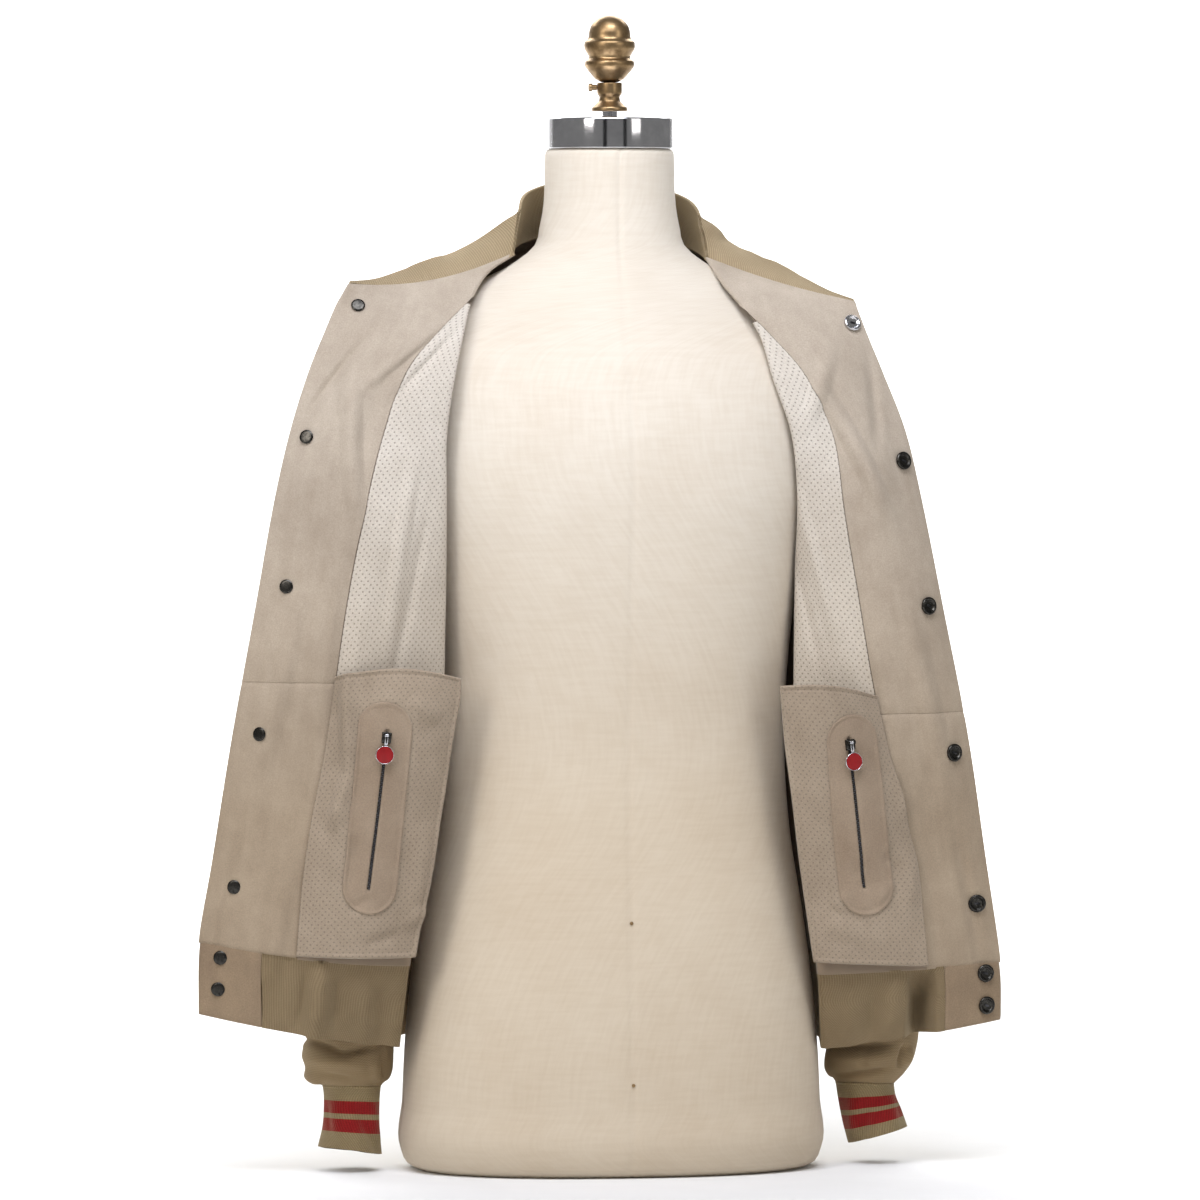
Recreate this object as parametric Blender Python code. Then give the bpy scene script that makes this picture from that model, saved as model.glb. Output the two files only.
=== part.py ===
"""A suede bomber jacket worn open on a limbless dress form, at its real size.

The front of the form faces -Y, +X is to the right of someone who looks at it, and +Z is up. The origin
is the centre of the form's flat base. Both fronts of the jacket are turned back outwards, so their
inside faces forward. Tables are in millimetres; a mesh is made in metres.
"""

import math

import bmesh
import bpy
import numpy as np
from mathutils import Matrix, Vector

MM = 0.001
GAP = 0.3           # clear space between two pieces that are sewn or rest together
SUEDE = 1.2         # wall of one layer of suede
KNIT = 2.4          # wall of the rib knit
POUCH = 2.6         # the two layers of a pocket, lying on each other
LEFT, RIGHT = -1, 1  # the sides as seen from in front

# ---------------------------------------------------------------- dress form
FORM_HEIGHT = 855.0
FORM_SIDES = 36
FORM_COLUMNS = ("z", "half_width", "front", "back", "centre_y", "squareness")
FORM = [
    (0, 164, 106, 101, 0, 2.3),
    (4, 171, 113, 108, 0, 2.3),
    (14, 176.5, 118, 112, 0, 2.3),
    (60, 176, 119, 114, 0, 2.3),
    (130, 172, 116, 113, 0, 2.3),
    (217, 161, 108, 108, 0, 2.3),
    (280, 151, 101, 101, 0, 2.3),
    (350, 146, 98, 96, 0, 2.3),
    (430, 149, 105, 99, 0, 2.3),
    (510, 159, 115, 107, 0, 2.3),
    (580, 170, 121, 114, 0, 2.3),
    (630, 175, 118, 116, 1, 2.2),
    (665, 182, 111, 113, 4, 2.0),
    (688, 187, 101, 105, 6, 1.8),
    (702, 183, 93, 97, 8, 1.65),
    (719.5, 168, 84, 89, 8, 1.55),
    (734, 138, 75, 81, 8, 1.55),
    (748, 104, 66, 73, 8, 1.65),
    (762, 78, 59, 65, 8, 1.8),
    (772, 65, 56, 60, 8, 2.0),
    (792, 58.5, 54, 56, 8, 2.0),
    (FORM_HEIGHT, 54, 53, 53, 8, 2.0),
]
NECK_Y = 8.0
CAP_RADIUS, CAP_HEIGHT = 54.0, 26.0

# ---------------------------------------------------------------- jacket fronts
# A row for each height. The edge is the snap edge, the roll is where the turned front folds back
# round the form, the side is the side seam and, higher up, the armhole's front edge. The bulge is how
# far the row curves forward, the sag how far it hangs below a straight line, and the facing is its
# share of the way from the edge to the roll.
FRONT_COLUMNS = (
    "edge_x", "edge_y", "edge_z", "roll_x", "roll_y", "roll_z", "side_z", "bulge", "sag", "facing",
)
FRONTS = {
    LEFT: [
        (-355, -55, 137, -187, -52, 107, 106, 16, 2, 0.46),
        (-354, -57, 196, -181, -72, 176, 174, 14, 4, 0.46),
        (-343, -62, 265, -168, -66, 262, 262, 18, 0, 0.427),
        (-328, -68, 362, -152, -62, 360, 360, 24, 0, 0.428),
        (-308, -72, 474, -149, -68, 472, 470, 21, 0, 0.449),
        (-293, -72, 558, -150, -82, 556, 558, 16, 0, 0.514),
        (-279, -69, 618, -151, -89, 616, 600, 9, 0, 0.586),
        (-263, -63, 667, -143, -85, 667, 645, 9, 0, 0.65),
        (-248, -56, 702, -132, -66, 706, 683, 10, 2, 0.80),
        (-238, -51, 724, -122, -44, 731, 703, 6, 5, 0.985),
        (-232, -48, 734, -103, -14, 754, 715, 4, 8, 1.0),
        (-227, -45, 742, -78, 5, 769, 721, 2, 11, 1.0),
    ],
    RIGHT: [
        (323, -55, 124, 171, -52, 101, 106, 18, 0, 0.434),
        (321, -58, 172, 165, -68, 164, 174, 16, 0, 0.434),
        (307, -62, 262, 159, -63, 262, 262, 19, 0, 0.44),
        (291, -68, 362, 147, -56, 360, 360, 26, 0, 0.496),
        (268, -72, 474, 146, -58, 472, 470, 26, 0, 0.555),
        (251, -72, 558, 145, -76, 556, 558, 19, 0, 0.646),
        (237, -70, 618, 138, -87, 616, 600, 9, 0, 0.66),
        (219, -63, 667, 122, -83, 664, 645, 9, 0, 0.713),
        (207, -56, 699, 113, -69, 700, 683, 8, 0, 0.90),
        (202, -51, 714, 99, -56, 724, 703, 6, 2, 0.985),
        (200, -48, 721, 85, -36, 744, 715, 4, 3, 1.0),
        (199, -45, 727, 78, 4, 765, 721, 2, 4, 1.0),
    ],
}
HEM_ROW, SEAM_ROW = 0, 1       # bottom and top of the waistband in the tables above
FACING_SEAM = {LEFT: 3.45, RIGHT: 3.2}   # the seam across the facing, in rows of the table
SIDE_X, SIDE_Y = 181.0, 12.0   # the side seam at the hip
TAB_WIDTH = 54.0               # the suede end of the waistband

# The armhole is an oval that stands nearly upright; the sleeve starts at it.
ARMHOLE_TOP = (192.0, 722.0)
ARMHOLE_LOW = (184.6, 558.0)
ARMHOLE_Y, ARMHOLE_DEPTH = 3.0, 53.0
ARMHOLE_SEAM = 2.2             # from the body's cut edge out to the sleeve's

# Soft folds in the fronts: place is millimetres from the snap edge at z_mid, slant is how far that
# moves for each millimetre up, forward is towards the viewer.
FOLD_COLUMNS = ("side", "place", "slant", "half_width", "forward", "z_low", "z_high")
FOLDS = [
    (LEFT, 38, 0.10, 26, 5.0, 520, 720),
    (LEFT, 52, -0.05, 30, -4.0, 210, 460),
    (LEFT, 100, 0.05, 24, 6.0, 60, 210),
    (RIGHT, 40, -0.08, 26, 5.0, 500, 700),
    (RIGHT, 50, 0.04, 28, -4.0, 200, 450),
]
PLEAT_PLACE, PLEAT_HALF_WIDTH, PLEAT_DEPTH = 75.0, 16.0, 30.0   # in the right of the rib waistband

EDGE_POINTS, SIDE_POINTS = 80, 40   # steps from the edge to the roll, and from the roll to the side
STEPS = 2                      # rows worked out for each row of the table
CORNER_SOFTENING = 12          # how often the fold at the roll is averaged
INNER = 0.5                    # from the middle of a front to each of its two layers
INNER_FACE = INNER + SUEDE
TOP_ROW = len(FRONTS[LEFT]) - 1
ROW_SEAM = 0.004               # half the gap at a seam across a front, in rows
LINING_SEAM = 0.0045           # the gap between facing and lining, as a share of the way to the roll
LINING_SLACK = 0.2             # the lining lies this much further from the outer suede
# The columns of a front's mesh, from the edge (0) by the roll (1) to the side (2), and its rows.
EDGE_TO_SIDE = [0, 0.16, 0.32, 0.5, 0.68, 0.84, 0.94, 1.0, 1.08, 1.32, 1.996]
BODY_ROWS = np.array([SEAM_ROW + ROW_SEAM, *np.arange(SEAM_ROW + 0.5, TOP_ROW + 0.1, 0.5)])
BAND_ROWS = [0.0, 0.3, 0.7, 1.0]    # rows of the waistband, from its bottom to its top

# ---------------------------------------------------------------- jacket back
BACK_COLUMNS = ("centre_y", "centre_z", "fullness")
BACK = [
    (138, 108, 2.5),
    (141, 176, 2.5),
    (134, 262, 2.4),
    (125, 360, 2.4),
    (126, 470, 2.4),
    (131, 558, 2.4),
    (132, 602, 2.4),
    (130, 650, 2.3),
    (120, 694, 2.2),
    (111, 726, 2.1),
    (101, 756, 2.0),
    (88, 786, 2.0),
]
BACK_HALF = 8           # columns from each side of the back to its middle
SIDE_SEAM = 0.7         # the back ends this far short of the side seams and armholes
SHOULDER_SEAM = 1.6     # and this far short of the fronts' top edge

# ---------------------------------------------------------------- collar
# Measured from the back of the neck (0) past the neck point (1) to the front corner (2).
COLLAR_COLUMNS = ("place", "rise", "back", "inward")
COLLAR = [
    (0.0, 44, -7, 0),
    (0.5, 43, -6, 5),
    (1.0, 36, 3, 6),
    (1.12, 30, 15, 4),
    (1.3, 23, 23, 2),
    (1.53, 16, 21, 0),
    (1.7, 11, 15, 0),
    (1.85, 5, 7, 0),
    (2.0, 1.6, 2, 0),
]
COLLAR_START = 2.6      # from the neckline to the collar's cut edge

# ---------------------------------------------------------------- sleeves
# Each ring by its outer and inner point, as seen from in front, the middle of its depth, half that
# depth, and how much lower it hangs at the back than at its middle.
RING_COLUMNS = ("outer_x", "outer_z", "inner_x", "inner_z", "y", "half_depth", "drop")
SLEEVE = [
    (192 + ARMHOLE_SEAM, 722, 184.6 + ARMHOLE_SEAM, 558, ARMHOLE_Y, ARMHOLE_DEPTH, 0),
    (204, 712, 188.8, 549, 4, 56, 0),
    (216, 686, 190.5, 533, 5, 58, 0),
    (230, 648, 192, 510, 6, 59, 0),
    (243, 600, 193, 480, 7, 58, 0),
    (252, 530, 193.5, 432, 8, 56, 0),
    (257, 440, 193.5, 365, 8, 54, 0),
    (259, 340, 193, 290, 8, 52, 0),
    (259, 250, 192, 218, 6, 50, 6),
    (258, 180, 189, 150, 4, 49, 20),
    (257, 135, 186, 97, 3, 48, 34),
]
SLEEVE_ENDS = {
    LEFT: [
        (257, 135, 186, 97, 3, 48, 34),
        (259, 110, 186, 89, 3, 47, 24),
        (258, 92, 187, 82, 2, 45, 13),
        (254, 79, 190, 76, 1, 40, 6),
        (243, 72, 197, 71, 0, 33, 2),
    ],
    RIGHT: [
        (257, 135, 186, 97, 3, 48, 34),
        (262, 110, 185, 86, 3, 47, 24),
        (258, 88, 187, 78, 2, 44, 13),
        (250, 76, 191, 74, 1, 39, 6),
        (240, 67, 194, 69, 0, 33, 2),
    ],
}
CUFFS = {
    LEFT: [
        (243, 72, 197, 71, 0, 33, 2),
        (242, 59, 198, 57, 0, 31, 2),
        (243, 38, 198, 35, 0, 32, 2),
        (247, 20, 196, 13, 1, 34, 3),
    ],
    RIGHT: [
        (240, 67, 194, 69, 0, 33, 2),
        (242, 57, 196, 55, 0, 31, 2),
        (247, 44, 200, 35, 0, 32, 2),
        (252, 30, 205, 17, 1, 34, 3),
    ],
}
RING_SIDES = 16
KNIT_START, CUFF_START = 1.2, 1.2   # from the end of the piece above to the cut edge

# ---------------------------------------------------------------- hanging inside pockets
# Heights at the outer side, which is sewn to the facing, and at the free inner side.
POCKET_COLUMNS = ("outer_z", "inner_x", "inner_y", "inner_z", "bulge", "arch")
POCKETS = {
    LEFT: [
        (186, -177, -82, 184, 8, -1),
        (222, -171, -84, 222, 12, 0),
        (270, -162, -86, 270, 16, 0),
        (318, -154, -89, 318, 18, 0),
        (362, -148, -93, 362, 18, 0),
        (398, -142, -98, 400, 17, 2),
        (418, -142, -100, 416, 15, 8),
    ],
    RIGHT: [
        (172, 158, -82, 176, 8, 0),
        (215, 152, -84, 215, 12, 0),
        (262, 145, -86, 262, 16, 0),
        (315, 138, -90, 315, 18, 0),
        (356, 132, -93, 356, 18, 0),
        (385, 128, -98, 390, 17, 1),
        (399, 126, -100, 408, 15, 5),
    ],
}
# The oval welt on each pocket: its middle line from the lower to the upper end, and half its width.
WELTS = {
    LEFT: ((-217.5, 243.5), (-206.5, 375.0)),
    RIGHT: ((199.7, 238.5), (186.0, 361.5)),
}
WELT_HALF_WIDTH, WELT_THICK = 22.5, 1.2
SLOT_HALF_WIDTH = 4.6
ZIP_HALF_WIDTH, ZIP_THICK = 3.0, 1.4
ZIP_ENDS = {
    LEFT: ((-218.5, 242.0), (-204.5, 373.0)),
    RIGHT: ((198.0, 239.0), (182.0, 364.0)),
}
WELT_SIDE, WELT_END = 7, 8     # points along each straight side of the oval and round each end
POCKET_ROWS, POCKET_POINTS = 12, 9   # each way across the pocket

# The slider: a plate with two lugs that stand forward. A box is its low and high corner, measured
# across, up along the zip, and out towards the viewer; the link's boxes are measured from its pivot.
LUG_GAP, LUG_THICK, LUG_OUT = 2.0, 1.4, 3.4
SLIDER_BOXES = [
    ((-4.0, -4.5, 0), (4.0, 4.5, 1.6)),
    ((-LUG_GAP - LUG_THICK, 0.6, 1.5), (-LUG_GAP, 3.8, 1.5 + LUG_OUT)),
    ((LUG_GAP, 0.6, 1.5), (LUG_GAP + LUG_THICK, 3.8, 1.5 + LUG_OUT)),
]
SLIDER_DOWN = 5.0              # from the upper end of the teeth
PIVOT_UP, PIVOT_OUT = 2.2, 3.5
LINK_LENGTH = 8.2
LINK_BOXES = [
    ((-LUG_GAP + GAP, -1.1, -1.1), (LUG_GAP - GAP, 1.1, 1.1)),
    ((-1.1, -LINK_LENGTH + 0.1, -0.7), (1.1, -1.0, 0.7)),
]
DISC_RADIUS = 7.7
DISC_DROP = LINK_LENGTH + GAP + DISC_RADIUS
# Profiles are (radius, height) from the bottom up.
DISC = [(DISC_RADIUS - 0.5, -1.3), (DISC_RADIUS, -0.8), (DISC_RADIUS, 0.8), (DISC_RADIUS - 0.5, 1.3)]

# ---------------------------------------------------------------- snaps
# Places as seen from in front, and how much higher than usual one sits where the suede bends.
SNAP_COLUMNS = ("x", "z", "lift")
SNAPS = {
    LEFT: [
        (-221, 723, 0), (-266, 615, 0.3), (-284, 492, -0.3), (-306, 370, -0.6), (-326, 243, -0.2),
        (-337, 184, -0.2), (-339, 158, -0.1),
    ],
    RIGHT: [
        (194, 708, -0.2), (233, 594, 0.3), (254, 473, -0.1), (277, 350, -0.2), (300, 223, -0.1),
        (307, 164, -0.2), (308, 137, -0.2),
    ],
}
STUD_RADIUS, SOCKET_RADIUS = 5.8, 7.5
SNAP_SEAT = INNER_FACE + GAP + 0.15
STUD = [(STUD_RADIUS - 0.6, 0), (STUD_RADIUS, 0.5), (STUD_RADIUS, 1.0), (STUD_RADIUS - 1.2, 1.6), (0, 1.7)]
SOCKET = [
    (SOCKET_RADIUS - 0.5, 0), (SOCKET_RADIUS, 0.6), (SOCKET_RADIUS, 2.2), (SOCKET_RADIUS - 1.0, 2.9),
    (SOCKET_RADIUS - 2.2, 2.9), (SOCKET_RADIUS - 3.0, 1.2), (0, 1.2),
]

# ---------------------------------------------------------------- materials
COLOURS = {
    "suede": ((0.42, 0.34, 0.26), 0.9, 0.0),
    "perforated_suede": ((0.55, 0.49, 0.42), 0.9, 0.0),
    "rib_knit": ((0.30, 0.23, 0.14), 0.95, 0.0),
    "form_cloth": ((0.78, 0.70, 0.60), 0.8, 0.0),
    "chrome": ((0.75, 0.75, 0.76), 0.12, 1.0),
    "brass": ((0.50, 0.36, 0.20), 0.4, 1.0),
    "gunmetal": ((0.08, 0.08, 0.09), 0.3, 1.0),
    "zip_metal": ((0.30, 0.30, 0.31), 0.3, 1.0),
    "red_enamel": ((0.45, 0.01, 0.01), 0.2, 0.0),
}


# ================================================================ helpers
def material(name):
    """The Principled material of that name, made once."""
    found = bpy.data.materials.get(name)
    if found:
        return found
    colour, roughness, metallic = COLOURS[name]
    made = bpy.data.materials.new(name)
    made.use_nodes = True
    shader = made.node_tree.nodes["Principled BSDF"]
    shader.inputs["Base Color"].default_value = (*colour, 1)
    shader.inputs["Roughness"].default_value = roughness
    shader.inputs["Metallic"].default_value = metallic
    return made


def add_object(name, bm, finish, parent=None):
    """A new object from a bmesh in metres, with its normals outwards."""
    bmesh.ops.recalc_face_normals(bm, faces=bm.faces)
    if bm.calc_volume(signed=True) < 0:
        bmesh.ops.reverse_faces(bm, faces=bm.faces)
    mesh = bpy.data.meshes.new(name)
    bm.to_mesh(mesh)
    bm.free()
    mesh.shade_smooth()
    mesh.set_sharp_from_angle(angle=math.radians(40))
    mesh.materials.append(material(finish))
    made = bpy.data.objects.new(name, mesh)
    bpy.context.scene.collection.objects.link(made)
    if parent:
        made.parent = parent
        made.matrix_parent_inverse = parent.matrix_world.inverted()
    return made


def through(knots, values, at):
    """Smooth values at the places `at`, through a table's values at its knots (cubic Hermite)."""
    knots = np.asarray(knots, float)
    values = np.asarray(values, float)
    at = np.clip(np.asarray(at, float), knots[0], knots[-1])
    step = np.diff(knots)
    slope = np.diff(values, axis=0) / step[:, None]
    tangent = np.empty_like(values)
    tangent[0], tangent[-1] = slope[0], slope[-1]
    before = step[1:, None] / (step[:-1] + step[1:])[:, None]
    tangent[1:-1] = slope[:-1] * before + slope[1:] * (1 - before)
    i = np.clip(np.searchsorted(knots, at, side="right") - 1, 0, len(step) - 1)
    t = ((at - knots[i]) / step[i])[:, None]
    h = step[i][:, None]
    return (
        (2 * t**3 - 3 * t**2 + 1) * values[i]
        + (t**3 - 2 * t**2 + t) * h * tangent[i]
        + (3 * t**2 - 2 * t**3) * values[i + 1]
        + (t**3 - t**2) * h * tangent[i + 1]
    )


def even(line, count):
    """The line again, with that many points evenly spaced along it."""
    along = np.concatenate([[0], np.cumsum(np.linalg.norm(np.diff(line, axis=0), axis=1))])
    at = np.linspace(0, along[-1], count)
    return np.stack([np.interp(at, along, line[:, axis]) for axis in range(3)], axis=1)


def unit(vectors):
    return vectors / np.maximum(np.linalg.norm(vectors, axis=-1, keepdims=True), 1e-9)


def window(value, low, high):
    """0 outside low to high, rising smoothly to 1 between them."""
    share = np.clip((value - low) / (high - low), 0, 1)
    return np.sin(math.pi * share) ** 2


def wall(name, near, far, finish, closed=False):
    """A closed wall between two grids of points, in millimetres; closed joins each row's ends."""
    rows, columns = near.shape[:2]
    bm = bmesh.new()
    sheets = [
        [[bm.verts.new(Vector(p) * MM) for p in row] for row in grid] for grid in (near, far)
    ]
    last = columns if closed else columns - 1
    for verts in sheets:
        for i in range(rows - 1):
            for j in range(last):
                k = (j + 1) % columns
                bm.faces.new((verts[i][j], verts[i][k], verts[i + 1][k], verts[i + 1][j]))
    a, b = sheets
    for i in (0, rows - 1):
        for j in range(last):
            k = (j + 1) % columns
            bm.faces.new((a[i][j], a[i][k], b[i][k], b[i][j]))
    if not closed:
        for j in (0, columns - 1):
            for i in range(rows - 1):
                bm.faces.new((a[i][j], a[i + 1][j], b[i + 1][j], b[i][j]))
    return add_object(name, bm, finish)


def turned(name, profile, finish, centre, axis, sides=20, parent=None):
    """A turned solid: profile is (radius, height along the axis) from the bottom up, in mm."""
    bm = bmesh.new()
    rings = []
    for radius, height in profile:
        if radius == 0:
            rings.append([bm.verts.new((0, 0, height))])
            continue
        ring = [
            bm.verts.new((radius * math.cos(a), radius * math.sin(a), height))
            for a in (2 * math.pi * i / sides for i in range(sides))
        ]
        rings.append(ring)
    for low, high in zip(rings, rings[1:]):
        for i in range(sides):
            j = (i + 1) % sides
            corners = [low[i % len(low)], low[j % len(low)], high[j % len(high)], high[i % len(high)]]
            bm.faces.new(list(dict.fromkeys(corners)))
    for ring in (rings[0], rings[-1]):
        if len(ring) > 1:
            bm.faces.new(ring)
    turn = Vector((0, 0, 1)).rotation_difference(Vector(axis)).to_matrix().to_4x4()
    place = Matrix.Translation(Vector(centre) * MM) @ turn @ Matrix.Scale(MM, 4)
    bmesh.ops.transform(bm, matrix=place, verts=bm.verts)
    return add_object(name, bm, finish, parent)


# ================================================================ dress form
def form_ring(z):
    """Points round the form's covered body at that height."""
    heights = [row[0] for row in FORM]
    half_width, front, back, middle, power = through(heights, [row[1:] for row in FORM], [z])[0]
    ring = []
    for i in range(FORM_SIDES):
        angle = 2 * math.pi * i / FORM_SIDES
        across, deep = math.cos(angle), math.sin(angle)
        reach = (abs(across) ** power + abs(deep) ** power) ** (-1 / power)
        depth = back if deep > 0 else front
        ring.append((half_width * reach * across, middle + depth * reach * deep, z))
    return ring


def dress_form():
    bm = bmesh.new()
    rings = [[bm.verts.new(Vector(p) * MM) for p in form_ring(row[0])] for row in FORM]
    for low, high in zip(rings, rings[1:]):
        for i in range(FORM_SIDES):
            j = (i + 1) % FORM_SIDES
            bm.faces.new((low[i], low[j], high[j], high[i]))
    bm.faces.new(rings[0])
    bm.faces.new(rings[-1])
    add_object("form_body", bm, "form_cloth")

    z = FORM_HEIGHT + GAP
    up = (0, 0, 1)
    cap = [(CAP_RADIUS, 0), (CAP_RADIUS, CAP_HEIGHT - 1.5), (CAP_RADIUS - 1.5, CAP_HEIGHT)]
    turned("neck_cap", cap, "chrome", (0, NECK_Y, z), up, sides=40)
    z += CAP_HEIGHT + GAP
    turned("neck_rod", [(6.5, 0), (6.5, 5)], "chrome", (0, NECK_Y, z), up, sides=16)
    z += 5 + GAP
    socket = [(15, 0), (15, 3), (13, 5), (9, 9), (8.5, 12), (10.5, 15), (10.5, 24)]
    turned("finial_socket", socket, "brass", (0, NECK_Y, z), up, sides=20)
    screw = [(2.4, 0), (2.4, 4), (3.4, 4), (3.4, 7)]
    turned("socket_screw", screw, "brass", (-10.5 - GAP, NECK_Y, z + 20), (-1, 0, 0), sides=10)
    z += 24 + GAP
    knob = [
        (7, 0), (12, 2.5), (18.5, 10), (21, 14), (21, 17), (17.5, 20.5), (18.5, 24),
        (21.5, 28.5), (21.5, 33), (18.0, 36.5), (17.8, 41), (16, 47), (12, 52), (6.5, 55), (0, 56),
    ]
    turned("finial_knob", knob, "brass", (0, NECK_Y, z), up, sides=20)


# ================================================================ the fronts' surface
def armhole(side, z, back):
    """The armhole's edge at that height, at the front or the back."""
    middle_z = (ARMHOLE_TOP[1] + ARMHOLE_LOW[1]) / 2
    half = (ARMHOLE_TOP[1] - ARMHOLE_LOW[1]) / 2
    up = max(-1.0, min(1.0, (z - middle_z) / half))
    out = (ARMHOLE_TOP[0] + ARMHOLE_LOW[0]) / 2 + up * (ARMHOLE_TOP[0] - ARMHOLE_LOW[0]) / 2
    depth = ARMHOLE_DEPTH * math.sqrt(1 - up * up)
    return (side * out, ARMHOLE_Y + (depth if back else -depth), z)


def side_point(side, z, back=False):
    """Where a front meets the back at that height: the side seam, or the armhole above it."""
    if z > ARMHOLE_LOW[1]:
        return armhole(side, z, back)
    share = (z - FRONTS[LEFT][HEM_ROW][6]) / (ARMHOLE_LOW[1] - FRONTS[LEFT][HEM_ROW][6])
    out = SIDE_X + (ARMHOLE_LOW[0] - SIDE_X) * share
    return (side * out, SIDE_Y + (ARMHOLE_Y - SIDE_Y) * share**3, z)


def fold_forward(side, place, z):
    """How far the folds push the front forward, at places from the snap edge."""
    forward = np.zeros_like(place)
    for fold_side, middle, slant, half_width, push, z_low, z_high in FOLDS:
        if fold_side == side:
            at = middle + slant * (z - (z_low + z_high) / 2)
            shape = np.clip(1 - ((place - at) / half_width) ** 2, 0, 1) ** 2
            forward += push * shape * window(z, z_low, z_high)
    return forward


def front_surface(side):
    """Points and normals of a front's middle layer. The normals point to its inside, as worn."""
    table = np.array(FRONTS[side], float)
    rows = np.arange(0, len(table) - 1 + 1e-9, 1 / STEPS)
    values = through(np.arange(len(table)), table, rows)
    grid = []
    for ex, ey, ez, rx, ry, rz, side_z, bulge, sag, _ in values:
        share = np.linspace(0, 1, EDGE_POINTS + 1)[:, None]
        edge, roll = np.array([ex, ey, ez]), np.array([rx, ry, rz])
        front = edge + (roll - edge) * share
        hump = (4 * share * (1 - share))[:, 0]
        front[:, 1] -= bulge * hump
        front[:, 2] -= sag * hump
        front = even(front, EDGE_POINTS + 1)
        share = np.linspace(0, 1, SIDE_POINTS + 1)[1:, None]
        behind = roll + (np.array(side_point(side, side_z)) - roll) * share
        line = np.concatenate([front, behind])
        for _ in range(CORNER_SOFTENING):
            line[1:-1] = (line[:-2] + 2 * line[1:-1] + line[2:]) / 4
        place = share_lengths(line)
        line[:, 1] -= fold_forward(side, place, ez)
        grid.append(line)
    grid = np.array(grid)
    across, up = np.gradient(grid, axis=1), np.gradient(grid, axis=0)
    normals = unit(np.cross(across, up)) * -side
    return {"rows": rows, "points": grid, "normals": normals, "facing": values[:, 9]}


def share_lengths(line):
    """How far along the line each of its points is."""
    return np.concatenate([[0], np.cumsum(np.linalg.norm(np.diff(line, axis=0), axis=1))])


def cut(surface, rows, shares, out):
    """Points of a piece of a front, for rows of the table and, in each row, shares of the way from
    the edge (0) by the roll (1) to the side (2), moved out by that much from the middle layer."""
    grid = []
    for row, row_shares in zip(rows, shares):
        i = min(int(row * STEPS), len(surface["points"]) - 2)
        t = row * STEPS - i
        line, normals = (
            surface[key][i] * (1 - t) + surface[key][i + 1] * t for key in ("points", "normals")
        )
        w = np.asarray(row_shares, float)
        index = np.where(w <= 1, w * EDGE_POINTS, EDGE_POINTS + (w - 1) * SIDE_POINTS)
        own = np.arange(len(line))
        point = np.stack([np.interp(index, own, line[:, k]) for k in range(3)], axis=1)
        normal = np.stack([np.interp(index, own, normals[:, k]) for k in range(3)], axis=1)
        grid.append(point + unit(normal) * out)
    return np.array(grid)


def at_row(surface, key, row):
    return float(np.interp(row, surface["rows"], surface[key]))


def panel(name, surface, rows, shares, low, high, finish):
    near, far = (cut(surface, rows, shares, out) for out in (low, high))
    return wall(name, near, far, finish)


def nearest(surface, x, z):
    """The point of a front's visible part that is seen at (x, z), its normal, and its row."""
    points = surface["points"][:, : EDGE_POINTS + 1]
    normals = surface["normals"][:, : EDGE_POINTS + 1]
    off = (points[..., 0] - x) ** 2 + (points[..., 2] - z) ** 2
    i, j = np.unravel_index(off.argmin(), off.shape)
    point, normal = points[i, j].copy(), normals[i, j]
    move = np.array([x - point[0], 0, z - point[2]])
    move[1] = -(normal[0] * move[0] + normal[2] * move[2]) / normal[1]
    return point + move, normal


def fronts(surfaces):
    for side, word in ((LEFT, "left"), (RIGHT, "right")):
        surface = surfaces[side]
        shares = [EDGE_TO_SIDE] * len(BODY_ROWS)
        panel(f"front_{word}", surface, BODY_ROWS, shares, -INNER, -INNER_FACE, "suede")

        across = FACING_SEAM[side]
        edges = np.linspace(0, 1, 6)
        lower = [*BODY_ROWS[BODY_ROWS < across - 0.1], across - ROW_SEAM]
        upper = [across + ROW_SEAM, *BODY_ROWS[BODY_ROWS > across + 0.1]]
        for part, rows in (("lower", lower), ("upper", upper)):
            ends = [min(at_row(surface, "facing", row), 1.0) for row in rows]
            shares = [edges * end for end in ends]
            name = f"facing_{word}_{part}"
            panel(name, surface, rows, shares, INNER, INNER_FACE, "suede")

        top = lining_top(surface) - 0.12
        rows = [*BODY_ROWS[BODY_ROWS < top - 0.1], top]
        shares = []
        for row in rows:
            start = at_row(surface, "facing", row) + LINING_SEAM
            seen = [*np.linspace(start, 0.84, 4), 0.94, 1.0, 1.08, 1.32]
            least = start + 0.006 * np.arange(len(seen))
            shares.append(np.maximum(seen, least))
        low, high = INNER + LINING_SLACK, INNER_FACE + LINING_SLACK
        panel(f"lining_{word}", surface, rows, shares, low, high, "perforated_suede")


def lining_top(surface):
    """The row of the table at which the facing has reached the roll, so the lining ends."""
    rows = surface["rows"]
    return float(rows[np.argmax(surface["facing"] > 0.95)])


# ================================================================ back
def back_row(surfaces, row):
    """Points across the back at one row of the tables, from the left side to the right."""
    knots = np.arange(len(BACK))
    centre_y, centre_z, fullness = through(knots, BACK, [row])[0]
    halves = []
    for side in (LEFT, RIGHT):
        side_z = float(through(knots, np.array(FRONTS[side])[:, 6:7], [row])[0][0])
        start = np.array(side_point(side, side_z, back=True))
        half = []
        for i in range(BACK_HALF + 1):
            angle = math.pi / 2 * i / BACK_HALF
            c, s = math.cos(angle) ** (2 / fullness), math.sin(angle) ** (2 / fullness)
            z = start[2] + (centre_z - start[2]) * s
            half.append((start[0] * c, start[1] + (centre_y - start[1]) * s, z))
        halves.append(np.array(half))
    return np.concatenate([halves[0], halves[1][::-1][1:]])


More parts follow.
